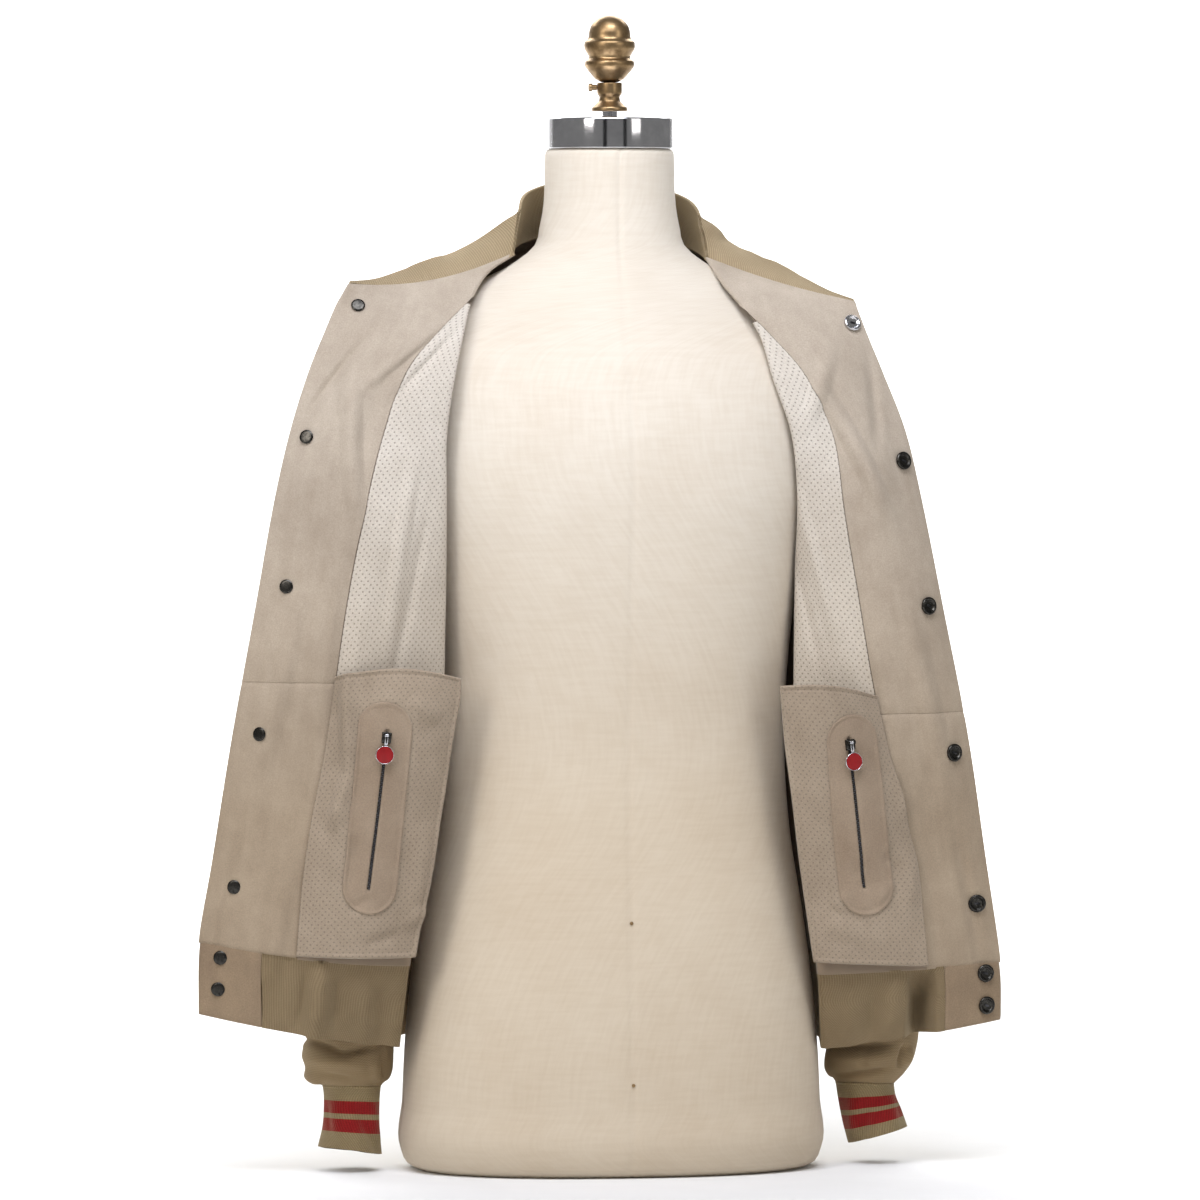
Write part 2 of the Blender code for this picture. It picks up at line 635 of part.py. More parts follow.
def back_top(surfaces):
    """The top edge of the back: the shoulder seam, the back neckline and the other shoulder seam."""
    halves = []
    centre_y, centre_z, _ = BACK[-1]
    for side in (LEFT, RIGHT):
        surface = surfaces[side]
        end, neck = surface["points"][-1][-1], surface["points"][-1][EDGE_POINTS]
        count = BACK_HALF // 2
        shoulder = [end + (neck - end) * i / count for i in range(count)]
        round_neck = []
        for i in range(BACK_HALF - count + 1):
            angle = math.pi / 2 * i / (BACK_HALF - count)
            z = neck[2] + (centre_z - neck[2]) * math.sin(angle)
            y = neck[1] + (centre_y - neck[1]) * math.sin(angle)
            round_neck.append((neck[0] * math.cos(angle), y, z))
        halves.append(np.array([*shoulder, *round_neck]))
    return np.concatenate([halves[0], halves[1][::-1][1:]])


def back_grid(surfaces):
    rows = [SEAM_ROW + ROW_SEAM, *range(SEAM_ROW + 1, TOP_ROW), TOP_ROW - 0.5]
    grid = [back_row(surfaces, row) for row in rows]
    top = back_top(surfaces)
    top += unit(grid[-1] - top) * SHOULDER_SEAM
    grid.append(top)
    return np.array(grid)


def inset_ends(grid, by):
    """The grid with the ends of its rows drawn in by that much."""
    grid = grid.copy()
    for end, inner in ((0, 1), (-1, -2)):
        grid[:, end] += unit(grid[:, inner] - grid[:, end]) * by
    return grid


def grid_normals(grid, closed=False):
    if closed:
        across = np.roll(grid, -1, axis=1) - np.roll(grid, 1, axis=1)
    else:
        across = np.gradient(grid, axis=1)
    return unit(np.cross(across, np.gradient(grid, axis=0)))


def back_panel(surfaces):
    grid = inset_ends(back_grid(surfaces), SIDE_SEAM)
    normals = grid_normals(grid)
    wall("back_panel", grid - normals * SUEDE / 2, grid + normals * SUEDE / 2, "suede")


# ================================================================ waistband and collar
def band_line(surfaces, row, tab):
    """The rib waistband's line at one row, from the left tab round the back to the right tab."""
    pieces = []
    for side in (LEFT, RIGHT):
        surface = surfaces[side]
        whole = cut(surface, [row], [np.linspace(0, 2, 121)], 0)[0]
        along = share_lengths(whole)
        near_tab = tab + np.array([0, 4, 10, 15.5, 21, 26.5, 32.5, 38])
        at = np.concatenate([near_tab, np.linspace(tab + 50, along[-1], 10)])
        line = np.stack([np.interp(at, along, whole[:, k]) for k in range(3)], axis=1)
        if side == RIGHT:
            depth = PLEAT_DEPTH * min(1.0, 0.25 + 2.0 * (SEAM_ROW - row))
            shape = np.clip(1 - ((at - PLEAT_PLACE) / PLEAT_HALF_WIDTH) ** 2, 0, 1) ** 2
            line[:, 1] += depth * shape
        pieces.append(line)
    back = back_row(surfaces, row)[2:-2:2]
    return np.concatenate([pieces[0], back, pieces[1][::-1]])


def waistband(surfaces):
    top = SEAM_ROW - (GAP + 0.3) / 65
    rows = [top * share for share in BAND_ROWS]
    grid = np.array([band_line(surfaces, row, TAB_WIDTH + GAP) for row in rows])
    normals = grid_normals(grid)
    wall("waistband_rib", grid - normals * KNIT / 2, grid + normals * KNIT / 2, "rib_knit")
    for side, word in ((LEFT, "left"), (RIGHT, "right")):
        surface = surfaces[side]
        shares = []
        for row in rows:
            every = np.linspace(0, 1, 81)
            along = share_lengths(cut(surface, [row], [every], 0)[0])
            shares.append(np.interp(np.linspace(0, TAB_WIDTH, 5), along, every))
        half = INNER + SUEDE
        panel(f"waistband_end_{word}", surface, rows, shares, -half, half, "suede")


def collar_lines(surfaces):
    """The collar's seam line and top line, from the left corner round the neck to the right one."""
    left, right = (surfaces[side]["points"][-1][: EDGE_POINTS + 1] for side in (LEFT, RIGHT))
    neck = back_top(surfaces)[BACK_HALF // 2 : -(BACK_HALF // 2)]
    parts = [even(left, 10), even(neck, 11), even(right[::-1], 10)]
    line = np.concatenate([parts[0], parts[1][1:-1], parts[2]])
    place = np.concatenate(
        [np.linspace(2, 1, 10), np.abs(np.linspace(-1, 1, 11))[1:-1], np.linspace(1, 2, 10)]
    )
    rise, back, inward = through([row[0] for row in COLLAR], [row[1:] for row in COLLAR], place).T
    lift = np.stack([-np.sign(line[:, 0]) * inward, back, rise], axis=1)
    return line, lift


def collar(surfaces):
    line, lift = collar_lines(surfaces)
    start = COLLAR_START / np.maximum(np.linalg.norm(lift, axis=1), COLLAR_START * 2)[:, None]
    grid = np.array([line + lift * (start + (1 - start) * share) for share in (0, 0.35, 0.7, 1)])
    normals = grid_normals(grid)
    wall("collar", grid - normals * KNIT / 2, grid + normals * KNIT / 2, "rib_knit")


# ================================================================ sleeves
def ring(side, row):
    """Points round a sleeve for one row of a table."""
    outer_x, outer_z, inner_x, inner_z, middle_y, half_depth, drop = row
    points = []
    for i in range(RING_SIDES):
        angle = 2 * math.pi * i / RING_SIDES
        c, s = math.cos(angle), math.sin(angle)
        x = (outer_x + inner_x) / 2 + c * (outer_x - inner_x) / 2
        z = (outer_z + inner_z) / 2 + c * (outer_z - inner_z) / 2 - drop * s
        points.append((side * x, middle_y + half_depth * s, z))
    return points


def tube(name, side, table, steps, thick, finish, start=0.0):
    """A tube through the rings of a table; start moves its first ring along by that much."""
    rows = through(np.arange(len(table)), table, np.linspace(0, len(table) - 1, steps))
    grid = np.array([ring(side, row) for row in rows])
    grid[0] += unit(grid[1] - grid[0]) * start
    normals = grid_normals(grid, closed=True)
    wall(name, grid - normals * thick / 2, grid + normals * thick / 2, finish, closed=True)


def sleeves():
    for side, word in ((LEFT, "left"), (RIGHT, "right")):
        tube(f"sleeve_{word}", side, SLEEVE, 11, SUEDE, "suede")
        tube(f"sleeve_knit_{word}", side, SLEEVE_ENDS[side], 5, KNIT, "rib_knit", KNIT_START)
        tube(f"cuff_{word}", side, CUFFS[side], 4, KNIT, "rib_knit", CUFF_START)


# ================================================================ pockets, welts and zips
def pocket_grid(surfaces, side):
    """Points of a pocket's middle layer, each row from the outer, sewn side to the free inner side."""
    surface = surfaces[side]
    table = np.array(POCKETS[side], float)
    rows = through(np.arange(len(table)), table, np.linspace(0, len(table) - 1, POCKET_ROWS))
    grid = []
    for outer_z, inner_x, inner_y, inner_z, bulge, arch in rows:
        row = float(np.interp(outer_z, edge_heights(surface), surface["rows"]))
        share = at_row(surface, "facing", row)
        outer = cut(surface, [row], [[share]], INNER_FACE + GAP + POUCH / 2)[0][0]
        inner = np.array([inner_x, inner_y, inner_z])
        t = np.linspace(0, 1, POCKET_POINTS)[:, None]
        line = outer + (inner - outer) * t
        hump = np.sin(math.pi * t[:, 0])
        line[:, 1] -= bulge * hump
        line[:, 2] += arch * np.sin(math.pi * t[:, 0])
        grid.append(line)
    return np.array(grid)


def edge_heights(surface):
    """The height of each row where the facing ends."""
    heights = []
    for row, share in zip(surface["rows"], surface["facing"]):
        heights.append(cut(surface, [row], [[min(share, 1.0)]], 0)[0][0][2])
    return heights


def finer(grid, times):
    """The same facets with that many times the points each way."""
    for axis in (0, 1):
        own = np.arange(grid.shape[axis])
        at = np.linspace(0, own[-1], own[-1] * times + 1)
        low = np.minimum(at.astype(int), own[-1] - 1)
        share = np.expand_dims(at - low, (1, 2) if axis == 0 else (0, 2))
        grid = np.take(grid, low, axis) * (1 - share) + np.take(grid, low + 1, axis) * share
    return grid


def on_grid(grid, x, z):
    """The point of a grid that is seen at (x, z), and its normal, which faces forward."""
    off = (grid[..., 0] - x) ** 2 + (grid[..., 2] - z) ** 2
    i, j = np.unravel_index(off.argmin(), off.shape)
    i, j = min(max(i, 1), grid.shape[0] - 2), min(max(j, 1), grid.shape[1] - 2)
    across, up = grid[i, j + 1] - grid[i, j - 1], grid[i + 1, j] - grid[i - 1, j]
    normal = unit(np.cross(across, up))
    normal *= -np.sign(normal[1])
    point = grid[i, j].copy()
    move = np.array([x - point[0], 0, z - point[2]])
    move[1] = -(normal[0] * move[0] + normal[2] * move[2]) / normal[1]
    return point + move, normal


def oval(low, high, half_width):
    """Points round a slot with round ends, as (x, z), with the same count on each stretch."""
    low, high = np.array(low), np.array(high)
    up = (high - low) / np.linalg.norm(high - low)
    out = np.array([up[1], -up[0]])
    points = []
    for start, end, turn in ((low, high, 1), (high, low, -1)):
        for share in np.arange(WELT_SIDE) / WELT_SIDE:
            points.append(start + (end - start) * share + out * half_width * turn)
        for i in range(WELT_END):
            angle = math.pi * i / WELT_END
            points.append(end + half_width * turn * (out * math.cos(angle) + up * math.sin(angle)))
    return points


def draped(grid, places, out):
    """The (x, z) places brought onto a pocket's surface and moved forward by that much."""
    points = []
    for x, z in places:
        point, normal = on_grid(grid, x, z)
        points.append(point + normal * out)
    return np.array(points)


def pockets(surfaces):
    for side, word in ((LEFT, "left"), (RIGHT, "right")):
        grid = pocket_grid(surfaces, side)
        normals = grid_normals(grid) * -side
        near, far = grid - normals * POUCH / 2, grid + normals * POUCH / 2
        wall(f"pocket_{word}", near, far, "perforated_suede")
        grid = finer(grid, 12)
        face = POUCH / 2 + GAP + 0.6
        low, high = WELTS[side]
        zip_low, zip_high = ZIP_ENDS[side]
        loops = []
        for share in (0, 0.5, 1):
            half = SLOT_HALF_WIDTH + (WELT_HALF_WIDTH - SLOT_HALF_WIDTH) * share
            ends = [
                np.array(zip_end) + (np.array(end) - np.array(zip_end)) * share
                for zip_end, end in ((zip_low, low), (zip_high, high))
            ]
            loops.append(oval(ends[0], ends[1], half))
        rings = [np.array([draped(grid, loop, out) for loop in loops]) for out in (face, face + WELT_THICK)]
        wall(f"zip_welt_{word}", rings[0], rings[1], "suede", closed=True)
        zips(grid, side, word, face)


def zips(grid, side, word, face):
    """The chain of teeth, the fixed slider on it, and the pull that hangs from the slider."""
    low, high = (np.array(end) for end in ZIP_ENDS[side])
    up = (high - low) / np.linalg.norm(high - low)
    out = np.array([up[1], -up[0]])
    rows = [low + (high - low) * t for t in np.linspace(0.0, 1, 9)]
    places = [[row + out * w for w in (-ZIP_HALF_WIDTH, 0, ZIP_HALF_WIDTH)] for row in rows]
    near, far = (
        np.array([draped(grid, row, height) for row in places]) for height in (face, face + ZIP_THICK)
    )
    wall(f"zip_chain_{word}", near, far, "zip_metal")

    point, normal = on_grid(grid, *(high - up * SLIDER_DOWN))
    base = Vector(point + normal * (face + ZIP_THICK + GAP + 0.15))
    out = Vector(normal)
    upward = Vector((up[0], 0, up[1]))
    upward = (upward - out * upward.dot(out)).normalized()
    frame = Matrix((upward.cross(out), upward, out)).transposed().to_4x4()
    place = Matrix.Translation(base * MM) @ frame @ Matrix.Scale(MM, 4)
    block(f"zip_slider_{word}", SLIDER_BOXES, place, "gunmetal")

    pivot = place @ Vector((0, PIVOT_UP, PIVOT_OUT))
    hinge = bpy.data.objects.new(f"pull_{word}_axis", None)
    hinge.matrix_world = Matrix.Translation(pivot) @ frame
    bpy.context.scene.collection.objects.link(hinge)
    bpy.context.view_layer.update()
    hang = Matrix.Translation(pivot) @ frame @ Matrix.Scale(MM, 4)
    block(f"pull_link_{word}", LINK_BOXES, hang, "chrome", hinge)
    centre = (hang @ Vector((0, -DISC_DROP, 0))) / MM
    turned(f"pull_tab_{word}", DISC, "red_enamel", centre, out, sides=24, parent=hinge)


def block(name, boxes, place, finish, parent=None):
    """Boxes that overlap, joined into one solid, in the frame that place gives."""
    made = []
    for low, high in boxes:
        bm = bmesh.new()
        bmesh.ops.create_cube(bm, size=1)
        size = Vector(high) - Vector(low)
        middle = (Vector(high) + Vector(low)) / 2
        bmesh.ops.scale(bm, vec=size, verts=bm.verts)
        bmesh.ops.translate(bm, vec=middle, verts=bm.verts)
        bmesh.ops.transform(bm, matrix=place, verts=bm.verts)
        made.append(bm)
    body = add_object(name, made[0], finish, parent)
    for i, bm in enumerate(made[1:]):
        other = add_object(f"{name}_add_{i}", bm, finish)
        other.hide_render = True
        other.display_type = "WIRE"
        joined = body.modifiers.new(f"join_{i}", "BOOLEAN")
        joined.operation = "UNION"
        joined.solver = "EXACT"
        joined.object = other
    return body


# ================================================================ snaps
def snaps(surfaces):
    for side, kind, profile in ((LEFT, "stud", STUD), (RIGHT, "socket", SOCKET)):
        for i, (x, z, lift) in enumerate(SNAPS[side], 1):
            point, normal = nearest(surfaces[side], x, z)
            centre = point + normal * (SNAP_SEAT + lift)
            turned(f"snap_{kind}_{i}", profile, "gunmetal", centre, normal, sides=14)


def main():
    for old in list(bpy.data.objects):
        bpy.data.objects.remove(old, do_unlink=True)
    surfaces = {side: front_surface(side) for side in (LEFT, RIGHT)}
    dress_form()
    fronts(surfaces)
    back_panel(surfaces)
    waistband(surfaces)
    collar(surfaces)
    sleeves()
    pockets(surfaces)
    snaps(surfaces)


main()
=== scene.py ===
# %% [markdown]
# # A suede bomber jacket on a dress form
#
# The jacket hangs open on a limbless form, and both of its fronts are turned back outwards, so that
# we look at their inside: plain suede facings with snaps, a perforated suede lining and a hanging
# pocket with a zip on each side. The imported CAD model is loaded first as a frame. It says where each
# piece is. Everything made below takes its place from the same tables of sizes, in millimetres.

# %% Load the frame
import math

import bmesh
import bpy
import numpy as np
from mathutils import Matrix, Vector


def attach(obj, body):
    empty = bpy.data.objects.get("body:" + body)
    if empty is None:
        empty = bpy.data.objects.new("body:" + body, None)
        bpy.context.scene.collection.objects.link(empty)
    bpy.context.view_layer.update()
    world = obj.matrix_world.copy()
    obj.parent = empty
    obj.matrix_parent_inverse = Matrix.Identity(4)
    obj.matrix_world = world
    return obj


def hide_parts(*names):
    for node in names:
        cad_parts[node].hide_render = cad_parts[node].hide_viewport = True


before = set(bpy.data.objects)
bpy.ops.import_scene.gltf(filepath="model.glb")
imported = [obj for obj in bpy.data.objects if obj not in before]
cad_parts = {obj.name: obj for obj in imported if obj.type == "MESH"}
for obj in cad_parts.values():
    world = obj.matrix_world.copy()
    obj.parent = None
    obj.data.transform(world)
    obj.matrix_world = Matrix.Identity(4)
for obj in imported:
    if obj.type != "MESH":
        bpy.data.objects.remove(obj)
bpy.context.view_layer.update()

MM = 0.001
LEFT, RIGHT = -1, 1      # the sides as seen from in front
BODY = "jacket_and_form"

# %% [markdown]
# ## Camera
#
# The photograph was taken from a long way off with a long lens, a little to the left of the middle
# and at about chest height, so lines hardly converge. A camera 7.5 m away with a 268 mm lens gives the
# same outline: 0.84 mm for each pixel of the 1200-pixel frame at the form's middle.

# %% Camera
CAMERA_AZIMUTH, CAMERA_ELEVATION = -9.0, 1.924      # degrees
CAMERA_DISTANCE = 7.5                               # metres
MM_PER_PIXEL = 0.84
FRAME_PIXELS = 1200
SENSOR = 36.0
CAMERA_TARGET = Vector((-0.00915, 0.00145, 0.47672))


def make_camera():
    """The camera of the photograph, as the scene's camera."""
    azimuth, elevation = math.radians(CAMERA_AZIMUTH), math.radians(CAMERA_ELEVATION)
    back = Vector((
        math.sin(azimuth) * math.cos(elevation),
        -math.cos(azimuth) * math.cos(elevation),
        math.sin(elevation),
    ))
    data = bpy.data.cameras.new("camera")
    data.sensor_width = SENSOR
    data.lens = CAMERA_DISTANCE / (MM_PER_PIXEL * MM * FRAME_PIXELS) * SENSOR
    data.clip_end = 100
    camera = bpy.data.objects.new("camera", data)
    camera.location = CAMERA_TARGET + back * CAMERA_DISTANCE
    camera.rotation_euler = (-back).to_track_quat("-Z", "Y").to_euler()
    bpy.context.scene.collection.objects.link(camera)
    bpy.context.scene.camera = camera
    print("camera: lens", round(data.lens, 1), "mm at", [round(x, 2) for x in camera.location])


make_camera()

# %% [markdown]
# ## Sizes
#
# These tables hold the garment's real sizes, in millimetres, each a row for one height of the piece.
# They are the ones that the solids were made from, so a shell made here lies on its solid.

# %% Wall thicknesses and the form
GAP = 0.3           # clear space between two pieces that are sewn or rest together
SUEDE = 1.2         # one layer of suede
KNIT = 2.4          # the rib knit

FORM_HEIGHT = 855.0
FORM = [
    # z, half_width, front, back, centre_y, squareness
    (0, 164, 106, 101, 0, 2.3),
    (4, 171, 113, 108, 0, 2.3),
    (14, 176.5, 118, 112, 0, 2.3),
    (60, 176, 119, 114, 0, 2.3),
    (130, 172, 116, 113, 0, 2.3),
    (217, 161, 108, 108, 0, 2.3),
    (280, 151, 101, 101, 0, 2.3),
    (350, 146, 98, 96, 0, 2.3),
    (430, 149, 105, 99, 0, 2.3),
    (510, 159, 115, 107, 0, 2.3),
    (580, 170, 121, 114, 0, 2.3),
    (630, 175, 118, 116, 1, 2.2),
    (665, 182, 111, 113, 4, 2.0),
    (688, 187, 101, 105, 6, 1.8),
    (702, 183, 93, 97, 8, 1.65),
    (719.5, 168, 84, 89, 8, 1.55),
    (734, 138, 75, 81, 8, 1.55),
    (748, 104, 66, 73, 8, 1.65),
    (762, 78, 59, 65, 8, 1.8),
    (772, 65, 56, 60, 8, 2.0),
    (792, 58.5, 54, 56, 8, 2.0),
    (FORM_HEIGHT, 54, 53, 53, 8, 2.0),
]
NECK_Y = 8.0

# %% The fronts, from the hem (first row) to the neckline (last row)
# A row for each height. The edge is the snap edge, the roll is where the turned front folds back
# round the form, the side is the side seam and, higher up, the armhole's front edge. The bulge is how
# far the row curves forward, the sag how far it hangs below a straight line, and the facing is its
# share of the way from the edge to the roll.
FRONTS = {
    # edge_x, edge_y, edge_z, roll_x, roll_y, roll_z, side_z, bulge, sag, facing
    LEFT: [
        (-355, -55, 137, -187, -52, 107, 106, 16, 2, 0.46),
        (-354, -57, 196, -181, -72, 176, 174, 14, 4, 0.46),
        (-343, -62, 265, -168, -66, 262, 262, 18, 0, 0.427),
        (-328, -68, 362, -152, -62, 360, 360, 24, 0, 0.428),
        (-308, -72, 474, -149, -68, 472, 470, 21, 0, 0.449),
        (-293, -72, 558, -150, -82, 556, 558, 16, 0, 0.514),
        (-279, -69, 618, -151, -89, 616, 600, 9, 0, 0.586),
        (-263, -63, 667, -143, -85, 667, 645, 9, 0, 0.65),
        (-248, -56, 702, -132, -66, 706, 683, 10, 2, 0.80),
        (-238, -51, 724, -122, -44, 731, 703, 6, 5, 0.985),
        (-232, -48, 734, -103, -14, 754, 715, 4, 8, 1.0),
        (-227, -45, 742, -78, 5, 769, 721, 2, 11, 1.0),
    ],
    RIGHT: [
        (323, -55, 124, 171, -52, 101, 106, 18, 0, 0.434),
        (321, -58, 172, 165, -68, 164, 174, 16, 0, 0.434),
        (307, -62, 262, 159, -63, 262, 262, 19, 0, 0.44),
        (291, -68, 362, 147, -56, 360, 360, 26, 0, 0.496),
        (268, -72, 474, 146, -58, 472, 470, 26, 0, 0.555),
        (251, -72, 558, 145, -76, 556, 558, 19, 0, 0.646),
        (237, -70, 618, 138, -87, 616, 600, 9, 0, 0.66),
        (219, -63, 667, 122, -83, 664, 645, 9, 0, 0.713),
        (207, -56, 699, 113, -69, 700, 683, 8, 0, 0.90),
        (202, -51, 714, 99, -56, 724, 703, 6, 2, 0.985),
        (200, -48, 721, 85, -36, 744, 715, 4, 3, 1.0),
        (199, -45, 727, 78, 4, 765, 721, 2, 4, 1.0),
    ],
}
HEM_ROW, SEAM_ROW = 0, 1       # bottom and top of the waistband in the tables above
SIDE_Z, FACING = 6, 9          # two of their columns
FACING_SEAM = {LEFT: 3.45, RIGHT: 3.2}   # the seam across the facing, in rows of the table
SIDE_X, SIDE_Y = 181.0, 12.0   # the side seam at the hip
TAB_WIDTH = 54.0               # the suede end of the waistband

# The armhole is an oval that stands nearly upright; the sleeve starts at it.
ARMHOLE_TOP = (192.0, 722.0)
ARMHOLE_LOW = (184.6, 558.0)
ARMHOLE_Y, ARMHOLE_DEPTH = 3.0, 53.0
ARMHOLE_SEAM = 2.2             # from the body's cut edge out to the sleeve's

# %% Folds, waistband pleat, back, collar
# place is millimetres from the snap edge at mid height, slant is how far it moves for each millimetre
# up, forward is towards the viewer. The first five are the largest, which the solids have too.
FOLDS = [
    # side, place, slant, half_width, forward, z_low, z_high
    (LEFT, 38, 0.10, 26, 5.0, 520, 720),
    (LEFT, 52, -0.05, 30, -4.0, 210, 460),
    (LEFT, 100, 0.05, 24, 6.0, 60, 210),
    (RIGHT, 40, -0.08, 26, 5.0, 500, 700),
    (RIGHT, 50, 0.04, 28, -4.0, 200, 450),
    (LEFT, 54, -0.30, 11, 7.0, 510, 700),
    (LEFT, 24, 0.42, 9, -4.1, 610, 722),
    (LEFT, 72, 0.85, 10, 4.9, 640, 726),
    (LEFT, 94, 0.60, 8, -3.5, 630, 716),
    (LEFT, 30, 0.02, 15, 4.1, 290, 530),
    (LEFT, 78, -0.04, 13, -3.2, 320, 570),
    (LEFT, 20, 0.05, 10, -2.7, 120, 340),
    (LEFT, 62, 0.06, 12, 3.2, 110, 300),
    (LEFT, 112, -0.05, 9, 4.6, 400, 640),
    (LEFT, 128, 0.03, 8, -3.5, 380, 600),
    (RIGHT, 52, 0.22, 11, 5.9, 520, 690),
    (RIGHT, 22, -0.35, 9, -3.8, 580, 700),
    (RIGHT, 64, -0.75, 10, 4.6, 610, 706),
    (RIGHT, 34, 0.03, 14, 3.8, 280, 510),
    (RIGHT, 80, 0.05, 12, -3.5, 290, 530),
    (RIGHT, 108, 0.10, 9, 4.9, 410, 610),
    (RIGHT, 124, 0.06, 8, -3.5, 390, 580),
    (RIGHT, 22, 0.04, 10, -3.0, 130, 330),
    (RIGHT, 70, -0.05, 12, 3.2, 110, 280),
]

PLEAT_PLACE, PLEAT_HALF_WIDTH, PLEAT_DEPTH = 75.0, 16.0, 30.0   # in the right of the rib waistband

EDGE_POINTS, SIDE_POINTS = 160, 80   # steps from the edge to the roll, and from the roll to the side
STEPS = 8                      # rows worked out for each row of the table
CORNER_SOFTENING = 48          # how often the fold at the roll is averaged
INNER = 0.5                    # from the middle of a front to each of its two layers
INNER_FACE = INNER + SUEDE
TOP_ROW = len(FRONTS[LEFT]) - 1
ROW_SEAM = 0.004               # half the gap at a seam across a front, in rows
LINING_SEAM = 0.0045           # the gap between facing and lining, as a share of the way to the roll
LINING_SLACK = 0.2             # the lining lies this much further from the outer suede

# The middle of the back at each row of the fronts, and how full the row's curve is.
BACK = [
    # y, z, fullness
    (138, 108, 2.5),
    (141, 176, 2.5),
    (134, 262, 2.4),
    (125, 360, 2.4),
    (126, 470, 2.4),
    (131, 558, 2.4),
    (132, 602, 2.4),
    (130, 650, 2.3),
    (120, 694, 2.2),
    (111, 726, 2.1),
    (101, 756, 2.0),
    (88, 786, 2.0),
]

BACK_HALF = 60          # columns from each side of the back to its middle
BACK_STEP = 0.1         # rows of the tables from one row of its points to the next
SIDE_SEAM = 0.7         # the back ends this far short of the side seams and armholes
SHOULDER_SEAM = 1.6     # and this far short of the fronts' top edge

# Measured from the back of the neck (0) past the neck point (1) to the front corner (2).
COLLAR = [
    # place, rise, back, inward
    (0.0, 44, -7, 0),
    (0.5, 43, -6, 5),
    (1.0, 36, 3, 6),
    (1.12, 30, 15, 4),
    (1.3, 23, 23, 2),
    (1.53, 16, 21, 0),
    (1.7, 11, 15, 0),
    (1.85, 5, 7, 0),
    (2.0, 1.6, 2, 0),
]
COLLAR_START = 2.6      # from the neckline to the collar's cut edge

# %% Sleeves, knit ends and cuffs
# Each ring by its outer and inner point, as seen from in front, the middle of its depth, half that
# depth, and how much lower it hangs at the back than at its middle.
SLEEVE = [
    # outer_x, outer_z, inner_x, inner_z, y, half_depth, drop
    (192 + ARMHOLE_SEAM, 722, 184.6 + ARMHOLE_SEAM, 558, ARMHOLE_Y, ARMHOLE_DEPTH, 0),
    (204, 712, 188.8, 549, 4, 56, 0),
    (216, 686, 190.5, 533, 5, 58, 0),
    (230, 648, 192, 510, 6, 59, 0),
    (243, 600, 193, 480, 7, 58, 0),
    (252, 530, 193.5, 432, 8, 56, 0),
    (257, 440, 193.5, 365, 8, 54, 0),
    (259, 340, 193, 290, 8, 52, 0),
    (259, 250, 192, 218, 6, 50, 6),
    (258, 180, 189, 150, 4, 49, 20),
    (257, 135, 186, 97, 3, 48, 34),
]
SLEEVE_ENDS = {
    LEFT: [
        SLEEVE[-1],
        (259, 110, 186, 89, 3, 47, 24),
        (258, 92, 187, 82, 2, 45, 13),
        (254, 79, 190, 76, 1, 40, 6),
        (243, 72, 197, 71, 0, 33, 2),
    ],
    RIGHT: [
        SLEEVE[-1],
        (262, 110, 185, 86, 3, 47, 24),
        (258, 88, 187, 78, 2, 44, 13),
        (250, 76, 191, 74, 1, 39, 6),
        (240, 67, 194, 69, 0, 33, 2),
    ],
}
CUFFS = {
    LEFT: [
        SLEEVE_ENDS[LEFT][-1],
        (242, 59, 198, 57, 0, 31, 2),
        (243, 38, 198, 35, 0, 32, 2),
        (247, 20, 196, 13, 1, 34, 3),
    ],
    RIGHT: [
        SLEEVE_ENDS[RIGHT][-1],
        (242, 57, 196, 55, 0, 31, 2),
        (247, 44, 200, 35, 0, 32, 2),
        (252, 30, 205, 17, 1, 34, 3),
    ],
}

KNIT_START, CUFF_START = 1.2, 1.2   # from the end of the piece above to the cut edge

# %% Pockets, welts, zips and snaps
# Heights at the outer side, which is sewn to the facing, and at the free inner side.
POUCH = 2.6         # the two layers of a pocket, lying on each other
POCKETS = {
    # outer_z, inner_x, inner_y, inner_z, bulge, arch
    LEFT: [
        (186, -177, -82, 184, 8, -1),
        (222, -171, -84, 222, 12, 0),
        (270, -162, -86, 270, 16, 0),
        (318, -154, -89, 318, 18, 0),
        (362, -148, -93, 362, 18, 0),
        (398, -142, -98, 400, 17, 2),
        (418, -142, -100, 416, 15, 8),
    ],
    RIGHT: [
        (172, 158, -82, 176, 8, 0),
        (215, 152, -84, 215, 12, 0),
        (262, 145, -86, 262, 16, 0),
        (315, 138, -90, 315, 18, 0),
        (356, 132, -93, 356, 18, 0),
        (385, 128, -98, 390, 17, 1),
        (399, 126, -100, 408, 15, 5),
    ],
}
# The oval welt on each pocket: its middle line from the lower to the upper end, and half its width.
WELTS = {
    LEFT: ((-217.5, 243.5), (-206.5, 375.0)),
    RIGHT: ((199.7, 238.5), (186.0, 361.5)),
}
WELT_HALF_WIDTH = 22.5
ZIP_THICK = 1.4
ZIP_ENDS = {
    LEFT: ((-218.5, 242.0), (-204.5, 373.0)),
    RIGHT: ((198.0, 239.0), (182.0, 364.0)),
}

LUG_GAP, LUG_THICK, LUG_OUT = 2.0, 1.4, 3.4
SLIDER_DOWN = 5.0              # from the upper end of the teeth
PIVOT_UP, PIVOT_OUT = 2.2, 3.5
LINK_LENGTH = 8.2
DISC_RADIUS = 7.7
DISC_DROP = LINK_LENGTH + GAP + DISC_RADIUS

